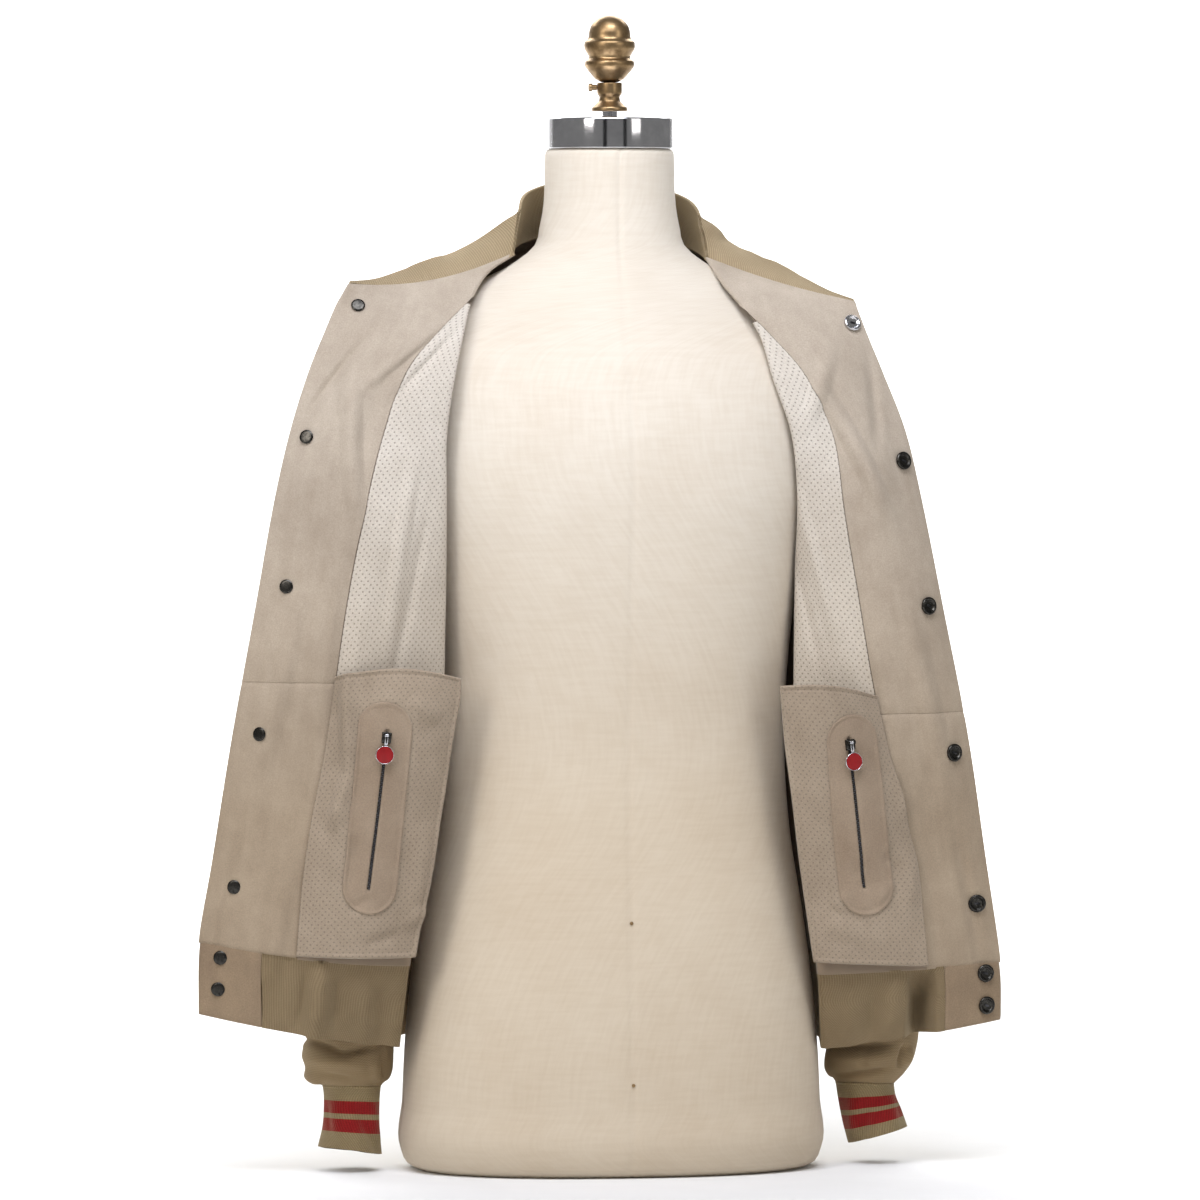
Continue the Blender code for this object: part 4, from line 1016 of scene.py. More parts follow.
def cloth_mesh(name, face, flat, outward, closed=False):
    """A grid mesh with its points at face, its UV map at flat, and its faces towards outward."""
    rows, columns = face.shape[:2]
    if closed:
        face, outward = closed_up(face), closed_up(outward)
        columns += 1
    bm = bmesh.new()
    bmesh.ops.create_grid(bm, x_segments=columns - 1, y_segments=rows - 1, size=1)
    mesh = mesh_of(name, bm)
    mesh.vertices.foreach_set("co", (face * MM).reshape(-1))
    corners = np.empty(len(mesh.loops), np.int32)
    mesh.loops.foreach_get("vertex_index", corners)
    layer = mesh.uv_layers.new(name="cut")
    layer.data.foreach_set("uv", (flat.reshape(-1, 2)[corners] * MM).reshape(-1))
    made_normals = grid_normals(face)
    bm = bmesh.new()
    bm.from_mesh(mesh)
    if (made_normals * outward).sum() < 0:
        bmesh.ops.reverse_faces(bm, faces=bm.faces)
    if closed:
        bmesh.ops.remove_doubles(bm, verts=bm.verts, dist=1e-6)
    bm.to_mesh(mesh)
    bm.free()
    mesh.shade_smooth()
    return mesh


def cloth(name, face, outward, thick, finish, replaces,
          closed=False, flat=None):
    """A piece of cloth whose outer face is the grid, its UV map laid out as its flat cut."""
    if flat is None:
        flat = flat_map(closed_up(face) if closed else face)
    mesh = cloth_mesh(name, face, flat, outward, closed)
    made = finish_piece(name, mesh, finish, replaces=replaces)
    wall = made.modifiers.new("wall", "SOLIDIFY")
    wall.thickness = thick * MM
    wall.offset = -1
    return made

# %% [markdown]
# ## The turned fronts
#
# Each front is two layers of hide sewn back to back. The outer hide faces backwards here. The inner
# layer is a plain facing down the snap edge, in two parts with a seam across at pocket height, and
# the perforated lining from the facing round to the side. The snap edge is turned, so both layers
# curl towards each other there.

# %% Outer hide and facings
SIDES = ((LEFT, "left"), (RIGHT, "right"))
OUTER_UP, OUTER_TO_ROLL, OUTER_TO_SIDE = 112, 64, 32      # rows and columns of the outer hides
FACING_UP, FACING_ACROSS = {"lower": 46, "upper": 112}, 62
EDGE_CURL = 1.3              # how far the turned snap edge curls back
SIDE_STOP = 0.996            # the outer hide goes this far of the way from the roll to the side seam


def curled_edge(grid, normals, depth):
    """The grid with its first column curled back by depth, as a turned edge is."""
    first = grid[:, :1]
    outwards = unit(first - grid[:, 3:4])
    curl = [
        first + outwards * depth * math.sin(angle) - normals[:, :1] * depth * (1 - math.cos(angle))
        for angle in (math.radians(a) for a in (85, 60, 30))
    ]
    face = np.concatenate([*curl, grid], axis=1)
    face_normals = np.concatenate([normals[:, :1]] * 3 + [normals], axis=1)
    return face, face_normals


def front_piece(side, rows, shares, out):
    """Points of a piece of a front's surface and its normals, towards the face at out."""
    grid = cut(surfaces[side], rows, shares, out)
    step = cut(surfaces[side], rows, shares, out + (0.5 if out > 0 else -0.5))
    return grid, unit(step - grid)


def body_rows(low, high, count):
    """Rows of the table from low to high, with an extra one close to each end."""
    return low + (high - low) * close_ends(count, margin=0.0008)


for side, word in SIDES:
    surface = surfaces[side]
    rows = body_rows(SEAM_ROW + ROW_SEAM, TOP_ROW, OUTER_UP)
    to_side = 1 + close_ends(OUTER_TO_SIDE)[2:] * SIDE_STOP
    shares = np.concatenate([np.linspace(0, 1, OUTER_TO_ROLL), to_side])
    grid, normals = front_piece(side, rows, [shares] * len(rows), -INNER_FACE)
    grid, normals = curled_edge(grid, normals, EDGE_CURL)
    cloth(f"front_outer_{word}", grid, normals, SUEDE, suede_outer, [f"front_{word}"])

    across = FACING_SEAM[side]
    spans = (("lower", SEAM_ROW + ROW_SEAM, across + ROW_SEAM), ("upper", across, TOP_ROW))
    for part, low, high in spans:
        rows = body_rows(low, high, FACING_UP[part])
        ends = [min(at_row(surface, "facing", row), 1.0) for row in rows]
        shares = [close_ends(FACING_ACROSS) * end for end in ends]
        grid, normals = front_piece(side, rows, shares, INNER_FACE)
        if part == "lower":
            grid = tuck(grid, normals, ["low", "high"])
        else:
            grid = tuck(grid, normals, ["low"], depth=0.5)
        grid, normals = curled_edge(grid, normals, EDGE_CURL)
        name = f"facing_{word}_{part}"
        cloth(f"{name}_hide", grid, normals, SUEDE, suede_facing, [name])

# %% Perforated lining
LINING_UP, LINING_ACROSS = 104, 88
LINING_STOP = 0.12           # rows below the one where the facing reaches the roll
LINING_ROUND = 1.32          # the lining ends about a third of the way from the roll to the side seam
for side, word in SIDES:
    surface = surfaces[side]
    rows = body_rows(SEAM_ROW + ROW_SEAM, lining_top(surface) - LINING_STOP, LINING_UP)
    shares = []
    for row in rows:
        start = at_row(surface, "facing", row) + LINING_SEAM
        end = max(LINING_ROUND, start + 0.05)
        shares.append(start + (end - start) * close_ends(LINING_ACROSS))
    grid, normals = front_piece(side, rows, shares, INNER_FACE + LINING_SLACK)
    cloth(f"lining_{word}_hide", grid, normals, SUEDE, suede_lining,
          [f"lining_{word}"])

# %% [markdown]
# ## Back, collar and waistband
#
# The back is one plain panel between the two side seams. The collar is one band of rib knit that
# stands up behind the neck and tapers to nothing at the front corners. The waistband is rib knit with
# a suede end on each side, and it is gathered into a deep pleat where the right front folds back.

# %% Back panel
# Soft folds by (x, z): from, to, half width, height.
BACK_CREASES = [
    (-150, 560, -60, 470, 16, -6.9),
    (150, 570, 70, 480, 18, -7.4),
    (-120, 700, -40, 620, 14, 4.1),
    (125, 695, 30, 640, 15, 3.7),
    (-95, 420, -75, 230, 14, 6.0),
    (20, 400, 34, 215, 17, 5.1),
    (110, 430, 96, 215, 13, 5.5),
    (-30, 330, -22, 200, 10, -3.7),
    (66, 360, 70, 220, 9, -3.4),
    (-140, 330, -128, 205, 9, 3.7),
    (-60, 760, 60, 757, 10, -3.2),
]
grid = back_grid()
normals = grid_normals(grid)
grid = add_creases(grid, normals, BACK_CREASES)
outward = turned_back(normals)
face = grid + outward * SUEDE / 2
cloth("back_hide", face, outward, SUEDE, suede_outer, ["back_panel"])

# %% Waistband
# Creases by (x, z) seen from in front.
BAND_CREASES = [
    (-256, 182, -262, 112, 6, 7.0),
    (-268, 178, -274, 120, 5, -4.0),
    (-300, 172, -296, 130, 8, -3.0),
    (-240, 176, -244, 116, 6, -4.5),
    (-206, 168, -200, 104, 9, -4.5),
    (-222, 172, -217, 106, 7, 3.5),
    (228, 168, 224, 106, 7, 4.0),
    (212, 160, 208, 100, 8, -4.0),
    (194, 158, 190, 100, 7, 3.0),
    (-60, 175, -64, 112, 10, 4.0),
    (20, 176, 24, 112, 12, 4.6),
    (96, 174, 92, 112, 9, 3.6),
]
SEAM_LAP = 1.5                  # how far one piece reaches under the next at a seam
BAND_TOP = SEAM_ROW + 0.03      # the rib laps under the fronts at the seam
BAND_UP, BAND_SIDE = 16, 260    # rows of the rib waistband, and its points in front of the side seam
TAB_ACROSS = 30                 # points across a suede end
FINE_STEPS = 481                # points that a row is measured with


def band_line(row, tab):
    """The rib waistband's line at one row, from the left tab round the back to the right tab."""
    pieces = []
    for side in (LEFT, RIGHT):
        surface = surfaces[side]
        whole = cut(surface, [row], [np.linspace(0, 2, FINE_STEPS)], 0)[0]
        along = share_lengths(whole)
        at = tab + (along[-1] - tab) * close_ends(BAND_SIDE, margin=0.0006)
        line = sampled(whole, along, at)
        if side == RIGHT:
            depth = PLEAT_DEPTH * min(1.0, 0.25 + 2.0 * (SEAM_ROW - row))
            shape = np.clip(1 - ((at - PLEAT_PLACE) / PLEAT_HALF_WIDTH) ** 2, 0, 1) ** 2
            line[:, 1] += depth * shape
        pieces.append(line)
    back = back_row(row)[2:-2]
    return np.concatenate([pieces[0], back, pieces[1][::-1]])


rows = BAND_TOP * close_ends(BAND_UP, margin=0.006)
grid = np.array([band_line(row, TAB_WIDTH - SEAM_LAP) for row in rows])
normals = turned_back(grid_normals(grid))
grid = add_creases(grid, -normals, BAND_CREASES)
face = tuck(grid + normals * KNIT / 2, normals, ["high", "start", "end"])
cloth("waistband_knit", face, normals, KNIT, knit_band_shaded, ["waistband_rib"])

for side, word in SIDES:
    surface = surfaces[side]
    every = np.linspace(0, 1, EDGE_POINTS + 1)
    shares = []
    for row in rows:
        along = share_lengths(cut(surface, [row], [every], 0)[0])
        shares.append(np.interp(TAB_WIDTH * close_ends(TAB_ACROSS, margin=0.006), along, every))
    grid, normals = front_piece(side, rows, shares, INNER_FACE)
    grid = tuck(grid, normals, ["high", "end"], depth=0.8)
    grid = tuck(grid, normals, ["low", "start"], depth=1.2)
    name = f"waistband_end_{word}"
    cloth(f"{name}_hide", grid, normals, 2 * INNER_FACE, suede_band, [name])

# %% Collar
COLLAR_FRONT, COLLAR_NECK, COLLAR_UP = 150, 101, 20      # points down a front, round the back and up


def collar_lines():
    """The collar's seam line and top line, from the left corner round the neck to the right one."""
    left, right = (surfaces[side]["points"][-1][: EDGE_POINTS + 1] for side in (LEFT, RIGHT))
    neck = back_top()[BACK_HALF // 2 : -(BACK_HALF // 2)]
    line = np.concatenate([
        even(left, COLLAR_FRONT), even(neck, COLLAR_NECK)[1:-1], even(right[::-1], COLLAR_FRONT)
    ])
    down = np.linspace(2, 1, COLLAR_FRONT)
    behind = np.abs(np.linspace(-1, 1, COLLAR_NECK))[1:-1]
    rise, back, inward = by_first(COLLAR, np.concatenate([down, behind, down[::-1]])).T
    lift = np.stack([-np.sign(line[:, 0]) * inward, back, rise], axis=1)
    return line, lift


# Creases by (x, z) seen from in front.
COLLAR_CREASES = [
    (-150, 765, -96, 792, 7, -3.5),
    (-120, 785, -80, 800, 6, 2.6),
    (-176, 752, -140, 768, 7, 2.2),
    (122, 770, 92, 785, 6, -2.9),
    (160, 752, 130, 764, 7, 2.6),
    (104, 783, 76, 792, 5, 2.2),
]
line, lift = collar_lines()
start = -SEAM_LAP / np.maximum(np.linalg.norm(lift, axis=1), COLLAR_START * 2)[:, None]
shares = close_ends(COLLAR_UP, margin=0.02)
grid = np.array([line + lift * (start + (1 - start) * share) for share in shares])
normals = turned_back(grid_normals(grid))
grid = add_creases(grid, -normals, COLLAR_CREASES)
face = tuck(grid + normals * KNIT / 2, normals, ["low"], depth=0.6)
cloth("collar_knit", face, normals, KNIT, knit_collar_lit, ["collar"])

# %% [markdown]
# ## Sleeves and cuffs
#
# A sleeve is a tube that hangs from the armhole, behind the turned front. It ends in a slanted edge,
# with a loose knit end below it, gathered into the narrow striped cuff. Tubes start as the same flat
# grid, wrapped round rings and closed along the outer side.

# %% Tubes
RING_POINTS = 120
SLEEVE_UP, KNIT_UP, CUFF_UP = 122, 60, 60


def ring(side, row):
    """Points round a sleeve for one row of a table."""
    outer_x, outer_z, inner_x, inner_z, middle_y, half_depth, drop = row
    angle = 2 * math.pi * np.arange(RING_POINTS) / RING_POINTS
    c, s = np.cos(angle), np.sin(angle)
    x = (outer_x + inner_x) / 2 + c * (outer_x - inner_x) / 2
    z = (outer_z + inner_z) / 2 + c * (outer_z - inner_z) / 2 - drop * s
    return np.stack([side * x, middle_y + half_depth * s, z], axis=1)


def tube(name, side, table, steps, thick, finish, node, creases, start=0.0, edges=(), folds=()):
    """A tube through the rings of a table. Creases are in its flat cut, from its first ring
    on, and folds are by (x, z) seen from in front."""
    rows = by_row(table, (len(table) - 1) * close_ends(steps, margin=0.0015))
    grid = np.array([ring(side, row) for row in rows])
    # The first ring moves in by start, and the next two follow by less.
    grid[:3] += unit(grid[3] - grid[0]) * (start * np.array([1, 0.7, 0.3]))[:, None, None]
    normals = grid_normals(grid, closed=True)
    normals *= np.sign(((grid - grid.mean(axis=1, keepdims=True)) * normals).sum())
    flat = flat_map(closed_up(grid))
    grid = add_creases(grid, normals, creases, flat[:, :-1])
    grid = add_creases(grid, normals, folds)
    if folds:                                   # a slanted cut, whose length is the mean of its sides
        lengths = np.linalg.norm(np.diff(grid, axis=0), axis=2).sum(axis=0)
        flat[..., 1] *= lengths.mean() / np.ptp(flat[..., 1])
    face = tuck(grid + normals * thick / 2, normals, edges, depth=0.7)
    return cloth(name, face, normals, thick, finish, [node], closed=True, flat=flat)


# The flat cut of a sleeve starts at its outer side: its front is about three quarters of the way
# round (270 mm) and its back one quarter (90 mm). Down the sleeve is up the numbers.
SLEEVE_CREASES = [
    # from along, down, to along, down, half width, height
    (40, 60, 120, 130, 14, -6.0),
    (60, 150, 130, 120, 11, 4.4),
    (20, 230, 110, 260, 12, -6.4),
    (30, 262, 120, 300, 10, 4.8),
    (250, 235, 330, 270, 12, -6.0),
    (240, 285, 320, 262, 10, 4.4),
    (80, 330, 150, 350, 11, -4.8),
    (10, 400, 90, 430, 13, -5.6),
    (30, 446, 110, 455, 9, 4.8),
    (230, 420, 320, 440, 12, -5.2),
    (60, 505, 150, 492, 10, -4.8),
    (0, 528, 70, 545, 9, 4.0),
    (250, 500, 330, 520, 10, 4.4),
    (100, 80, 104, 520, 16, 3.6),
    (300, 120, 290, 500, 16, 3.2),
    (200, 60, 190, 480, 18, -3.6),
]
# Folds of the knit sleeve ends by (x, z) seen from in front.
KNIT_FOLDS = {
    LEFT: [
        (-264, 113, -230, 101, 3.6, -6.5),
        (-238, 101, -206, 107, 3.4, -5.0),
        (-264, 96, -212, 92, 5.0, 3.4),
        (-250, 84, -222, 80, 3.0, -3.0),
        (-198, 106, -194, 72, 3.0, -5.5),
        (-207, 98, -205, 76, 3.4, 2.2),
        (-262, 81, -244, 76, 4.0, 3.6),
    ],
    RIGHT: [
        (182, 100, 238, 105, 3.6, -5.0),
        (245, 104, 240, 82, 3.0, -6.0),
        (251, 100, 249, 84, 3.4, 3.0),
        (188, 90, 238, 94, 5.0, 3.6),
        (190, 76, 234, 83, 3.0, -5.0),
        (206, 100, 212, 84, 3.0, -2.6),
    ],
}
# A cuff's creases are in its flat cut, whose side towards the viewer is about 130 mm round.
CUFF_CREASES = [
    (20, 4, 24, 60, 8, -1.8),
    (60, 20, 52, 64, 9, 2.0),
    (112, 4, 104, 50, 7, 2.0),
    (124, 8, 118, 66, 6, -2.6),
    (142, 4, 148, 62, 8, 2.2),
    (160, 10, 156, 44, 6, -1.8),
]
for side, word in SIDES:
    tube(f"sleeve_{word}_hide", side, SLEEVE, SLEEVE_UP, SUEDE, suede_outer, f"sleeve_{word}",
         SLEEVE_CREASES, edges=["low"])
    tube(f"sleeve_{word}_knit_end", side, SLEEVE_ENDS[side], KNIT_UP, KNIT, knit_sleeve_shaded,
         f"sleeve_knit_{word}", [], KNIT_START, edges=["low", "high"], folds=KNIT_FOLDS[side])
    tube(f"cuff_{word}_striped", side, CUFFS[side], CUFF_UP, KNIT, knit_cuff_shaded,
         f"cuff_{word}", CUFF_CREASES, CUFF_START, edges=["low"])

# %% [markdown]
# ## Pockets and their zips
#
# Each pocket is a flat pouch of perforated suede, sewn to the facing down its outer side and free on
# the other three. Its free edges are turned, which leaves a rolled ridge with a groove beside it. A
# plain oval of suede is sewn on round the zip, and its lips fold into the slot over the teeth.

# %% Pocket surface
POCKET_ROWS, POCKET_POINTS = 138, 112
# By (x, z): from, to, half width, height.
POCKET_CREASES = {
    LEFT: [
        (-235, 440, -235, 322, 6.0, 7.5),
        (-235, 340, -248, 288, 6.0, 6.5),
        (-234, 322, -246, 250, 9, 2.4),
        (-228, 290, -236, 225, 10, -4.5),
        (-186, 402, -160, 380, 8, 4.6),
        (-170, 300, -178, 215, 9, 4.6),
        (-238, 222, -214, 236, 6, -3.2),
        (-190, 210, -166, 226, 6, 3.2),
        (-222, 196, -190, 204, 5, -2.6),
        (-196, 404, -214, 392, 7, 1.8),
    ],
    RIGHT: [
        (150, 398, 158, 330, 11, 3.0),
        (236, 378, 228, 325, 8, -4.6),
        (224, 352, 238, 290, 8, 4.4),
        (160, 318, 176, 240, 12, -2.8),
        (184, 262, 204, 230, 9, -2.6),
        (186, 236, 174, 220, 6, 2.2),
        (208, 226, 222, 246, 5, 2.2),
        (240, 280, 236, 206, 9, 3.4),
        (164, 210, 200, 196, 8, 2.0),
        (212, 268, 232, 250, 6, -2.2),
    ],
}
EDGE_ROLL, ROLL_WIDTH, GROOVE_PLACE = 1.0, 1.4, 4.6      # the turned edge's ridge and its groove


def pocket_grid(side):
    """Points of a pocket's middle layer, each row from the outer, sewn side to the free inner side."""
    surface = surfaces[side]
    table = POCKETS[side]
    rows = by_row(table, (len(table) - 1) * close_ends(POCKET_ROWS, margin=0.003))
    grid = []
    for outer_z, inner_x, inner_y, inner_z, bulge, arch in rows:
        row = float(np.interp(outer_z, edge_heights(surface), surface["rows"]))
        share = at_row(surface, "facing", row)
        outer = cut(surface, [row], [[share]], INNER_FACE + GAP + POUCH / 2)[0][0]
        inner = np.array([inner_x, inner_y, inner_z])
        t = close_ends(POCKET_POINTS, margin=0.005)[:, None]
        line = outer + (inner - outer) * t
        hump = np.sin(math.pi * t[:, 0])
        line[:, 1] -= bulge * hump
        line[:, 2] += arch * hump
        grid.append(line)
    return np.array(grid)


def edge_heights(surface):
    """The height of each row where the facing ends."""
    heights = []
    for row, share in zip(surface["rows"], surface["facing"]):
        heights.append(cut(surface, [row], [[min(share, 1.0)]], 0)[0][0][2])
    return heights


def rolled_edges(grid, normals):
    """The turned edges of a pocket: along its top, its bottom and its free inner side."""
    flat = flat_map(grid)
    width, height = flat[:, -1:, 0], flat[-1, 0, 1]
    away = np.minimum(np.minimum(flat[..., 1], height - flat[..., 1]), width - flat[..., 0])
    ridge = EDGE_ROLL * np.exp(-(((away - ROLL_WIDTH) / ROLL_WIDTH) ** 2))
    groove = 0.5 * EDGE_ROLL * np.exp(-(((away - GROOVE_PLACE) / 1.0) ** 2))
    return grid + normals * (ridge - groove)[..., None]


def facing_forward(normals):
    """The normals, turned so that they face the viewer."""
    return normals * -np.sign(normals[..., 1].mean())


pockets = {}
for side, word in SIDES:
    grid = pocket_grid(side)
    normals = facing_forward(grid_normals(grid))
    grid = add_creases(grid, normals, POCKET_CREASES[side])
    normals = facing_forward(grid_normals(grid))
    pockets[side] = grid
    face = rolled_edges(grid + normals * POUCH / 2, normals)
    face = tuck(face, normals, ["low", "high", "end"], depth=1.0)
    cloth(f"pocket_{word}_pouch", face, normals, POUCH, suede_pocket,
          [f"pocket_{word}"])

# %% Oval welts
def on_grid(grid, x, z):
    """The point of a grid that is seen at (x, z), and its normal, which faces forward."""
    i, j = closest(grid, x, z)
    i, j = min(max(i, 1), grid.shape[0] - 2), min(max(j, 1), grid.shape[1] - 2)
    across, up = grid[i, j + 1] - grid[i, j - 1], grid[i + 1, j] - grid[i - 1, j]
    normal = unit(np.cross(across, up))
    normal *= -np.sign(normal[1])
    return seen_at(grid[i, j], normal, x, z), normal


def oval(low, high, half_width):
    """Points round a slot with round ends, as (x, z), with the same count on each stretch."""
    low, high = np.array(low), np.array(high)
    up = (high - low) / np.linalg.norm(high - low)
    out = np.array([up[1], -up[0]])
    points = []
    for start, end, turn in ((low, high, 1), (high, low, -1)):
        for share in np.arange(WELT_SIDE) / WELT_SIDE:
            points.append(start + (end - start) * share + out * half_width * turn)
        for i in range(WELT_END):
            angle = math.pi * i / WELT_END
            points.append(end + half_width * turn * (out * math.cos(angle) + up * math.sin(angle)))
    return points


def draped(grid, places, out):
    """The (x, z) places brought onto a pocket's surface and moved forward by that much."""
    points = []
    for x, z in places:
        point, normal = on_grid(grid, x, z)
        points.append(point + normal * out)
    return np.array(points)


WELT_SIDE, WELT_END = 60, 30      # points along each straight side of the oval and round each end
LIP_HALF_WIDTH = 0.95             # half the gap between the lips, over the teeth
WELT_THICK = 1.0
# From the lips (0) to the sewn outer edge (1), and how far out from the pocket's middle layer.
WELT_SECTION = [
    # share, out
    (0.0, 1.0), (0.02, 1.9), (0.05, 2.6), (0.10, 2.8), (0.20, 2.5), (0.35, 2.35), (0.5, 2.3),
    (0.65, 2.3), (0.78, 2.35), (0.84, 2.1), (0.88, 2.55), (0.94, 2.75), (0.985, 2.6), (1.0, 2.0),
]


def between(first, second, share):
    """The place that share of the way from the first to the second."""
    first, second = np.array(first), np.array(second)
    return first + (second - first) * share


def welt_face(side):
    """Points of an oval welt, ring by ring from its lips outwards, and where they lie flat."""
    low, high = WELTS[side]
    zip_low, zip_high = ZIP_ENDS[side]
    rings, flat = [], []
    for share, out in WELT_SECTION:
        half = LIP_HALF_WIDTH + (WELT_HALF_WIDTH - LIP_HALF_WIDTH) * share
        places = oval(between(zip_low, low, share), between(zip_high, high, share), half)
        rings.append(draped(pockets[side], places, out))
        flat.append(np.array(places))
    return np.array(rings), np.array(flat)


def forward(face):
    """A normal for each point of a grid, straight towards the viewer."""
    return np.broadcast_to(np.array([0.0, -1.0, 0.0]), face.shape)


for side, word in SIDES:
    face, flat = welt_face(side)
    cloth(f"zip_welt_{word}_oval", face, forward(face), WELT_THICK, suede_welt,
          [f"zip_welt_{word}"], closed=True,
          flat=closed_up(flat))

# %% Zip teeth on their tape
TOOTH_PITCH = 1.7
TOOTH_SIZE = (1.5, 0.85, 0.9)      # across, along and out
TOOTH_LEAN = 0.45                  # every second tooth sits this far to the left, the others right
TAPE_HALF_WIDTH, TAPE_OUT, TAPE_THICK = 5.2, 1.45, 0.4
TAPE_STEPS = 80
TEETH_OUT = 1.7                    # from the pocket's middle layer to the middle of a tooth


def zip_line(side):
    """A zip's lower end, the direction up it and its length, as seen from in front."""
    low, high = (np.array(end) for end in ZIP_ENDS[side])
    length = float(np.linalg.norm(high - low))
    return low, (high - low) / length, length


def zip_frame(side, place, out):
    """The matrix of a place on a pocket: x across the zip, y up it and z out of the pocket."""
    low, up, _ = zip_line(side)
    point, normal = on_grid(pockets[side], *(low + up * place))
    outward = Vector(normal)
    upward = Vector((up[0], 0, up[1]))
    upward = (upward - outward * upward.dot(outward)).normalized()
    turn = Matrix((upward.cross(outward), upward, outward)).transposed().to_4x4()
    return Matrix.Translation((Vector(point) + outward * out) * MM) @ turn @ Matrix.Scale(MM, 4)


def made_mesh(name, bm, smooth_angle=35):
    """The mesh of a bmesh, its normals outwards and its edges over that angle sharp."""
    bmesh.ops.recalc_face_normals(bm, faces=bm.faces)
    mesh = mesh_of(name, bm)
    mesh.shade_smooth()
    mesh.set_sharp_from_angle(angle=math.radians(smooth_angle))
    return mesh


def rounded_box(bm, low, high, place, width, segments=2):
    """Adds a box with rounded edges to a bmesh, from its low to its high corner in a frame."""
    made = bmesh.ops.create_cube(bm, size=1)["verts"]
    low, high = Vector(low), Vector(high)
    bmesh.ops.scale(bm, vec=high - low, verts=made)
    bmesh.ops.translate(bm, vec=(high + low) / 2, verts=made)
    edges = list({edge for vert in made for edge in vert.link_edges})
    if width:
        made = bmesh.ops.bevel(
            bm, geom=edges, offset=width, segments=segments, profile=0.5, affect="EDGES", material=-1
        )["verts"] + [vert for vert in made if vert.is_valid]
    bmesh.ops.transform(bm, matrix=place, verts=list(set(made)))


for side, word in SIDES:
    bm = bmesh.new()
    across, along, out = (size / 2 for size in TOOTH_SIZE)
    _, _, length = zip_line(side)
    count = int(length / TOOTH_PITCH)
    for i in range(count):
        lean = TOOTH_LEAN * (-1) ** i
        place = zip_frame(side, TOOTH_PITCH * (i + 0.5), TEETH_OUT)
        rounded_box(bm, (lean - across, -along, -out), (lean + across, along, out), place, 0)
    finish_piece(f"zip_teeth_{word}", made_mesh("teeth", bm), zip_metal,
                 replaces=[f"zip_chain_{word}"])
    print(f"zip_teeth_{word}:", count, "teeth")

    face = np.array([
        [zip_frame(side, step, TAPE_OUT) @ Vector((w * TAPE_HALF_WIDTH, 0, 0)) / MM
         for w in (-1, -0.5, 0, 0.5, 1)] for step in np.linspace(0, length, TAPE_STEPS)
    ])
    cloth(f"zip_tape_{word}", face, forward(face), TAPE_THICK, tape, [])

# %% [markdown]
# ## The dress form's cover
#
# The form is padded and covered in linen, cut in panels. Its seams run down the middle in front and
# behind and down each side, and each pulls the cover in a little.

# %% Form cover
FORM_SEAMS = (0.25, 0.5, 0.75, 1.0)      # places round the form, as shares of a turn from its side
SEAM_DEPTH, SEAM_WIDTH = 0.9, 2.2
FORM_AROUND, FORM_UP = 360, 124          # points round a ring, and rings between the two edges
FORM_BASE_EDGE = 5.0                     # height at which the cover starts to curl under
# Which ring is drawn in by how much, at the base and at the neck.
FORM_CURL = ((0, 3.2), (1, 1.6), (2, 0.5), (-3, 0.4), (-2, 1.4), (-1, 3.0))


def form_ring(z):
    """Points round the form at that height, its seams pulled in."""
    half_width, front, back, middle, power = by_first(FORM, [z])[0]
    angle = np.linspace(0, 2 * math.pi, FORM_AROUND, endpoint=False)
    across, deep = np.cos(angle), np.sin(angle)
    reach = (np.abs(across) ** power + np.abs(deep) ** power) ** (-1 / power)
    depth = np.where(deep > 0, back, front)
    ring = np.stack(
        [half_width * reach * across, middle + depth * reach * deep, np.full(FORM_AROUND, z)], axis=1
    )
    along = share_lengths(np.concatenate([ring, ring[:1]]))
    pulled = np.zeros(FORM_AROUND)
    for seam in (0, *FORM_SEAMS):
        place = along[min(int(round(seam * FORM_AROUND)), FORM_AROUND)]
        pulled += np.exp(-(((along[:-1] - place) / SEAM_WIDTH) ** 2))
    inward = unit(np.array([[0, middle, z]]) - ring)
    return ring + inward * (SEAM_DEPTH * np.clip(pulled, 0, 1))[:, None]


heights = np.concatenate([[0, 0.8, 2.5, FORM_BASE_EDGE], np.linspace(9, FORM_HEIGHT - 5, FORM_UP),
                          [FORM_HEIGHT - 2.5, FORM_HEIGHT - 0.8, FORM_HEIGHT]])
rings = np.array([form_ring(z) for z in heights])
for at, by in FORM_CURL:
    middle = rings[at].mean(axis=0)
    rings[at] += unit(middle - rings[at]) * by
flat = flat_map(closed_up(rings))
outward = rings - rings.mean(axis=1, keepdims=True)
mesh = cloth_mesh("form_cover", rings, flat, outward, closed=True)
bm = bmesh.new()
bm.from_mesh(mesh)
bmesh.ops.holes_fill(bm, edges=[edge for edge in bm.edges if edge.is_boundary], sides=0)
bmesh.ops.recalc_face_normals(bm, faces=bm.faces)
bm.to_mesh(mesh)
bm.free()
mesh.shade_smooth()
cover = finish_piece("form_cover", mesh, linen_cover, replaces=["form_body"])
print("form cover:", len(mesh.polygons), "faces")

# %% [markdown]
# ## Turned metal
#
# The neck cap is a chrome drum with small rounded edges. The finial over it is turned brass: a socket
# with its locking screw, and an acorn knob. They are spun from smooth profiles.

# %% Turned pieces
TURNED_SIDES = 96


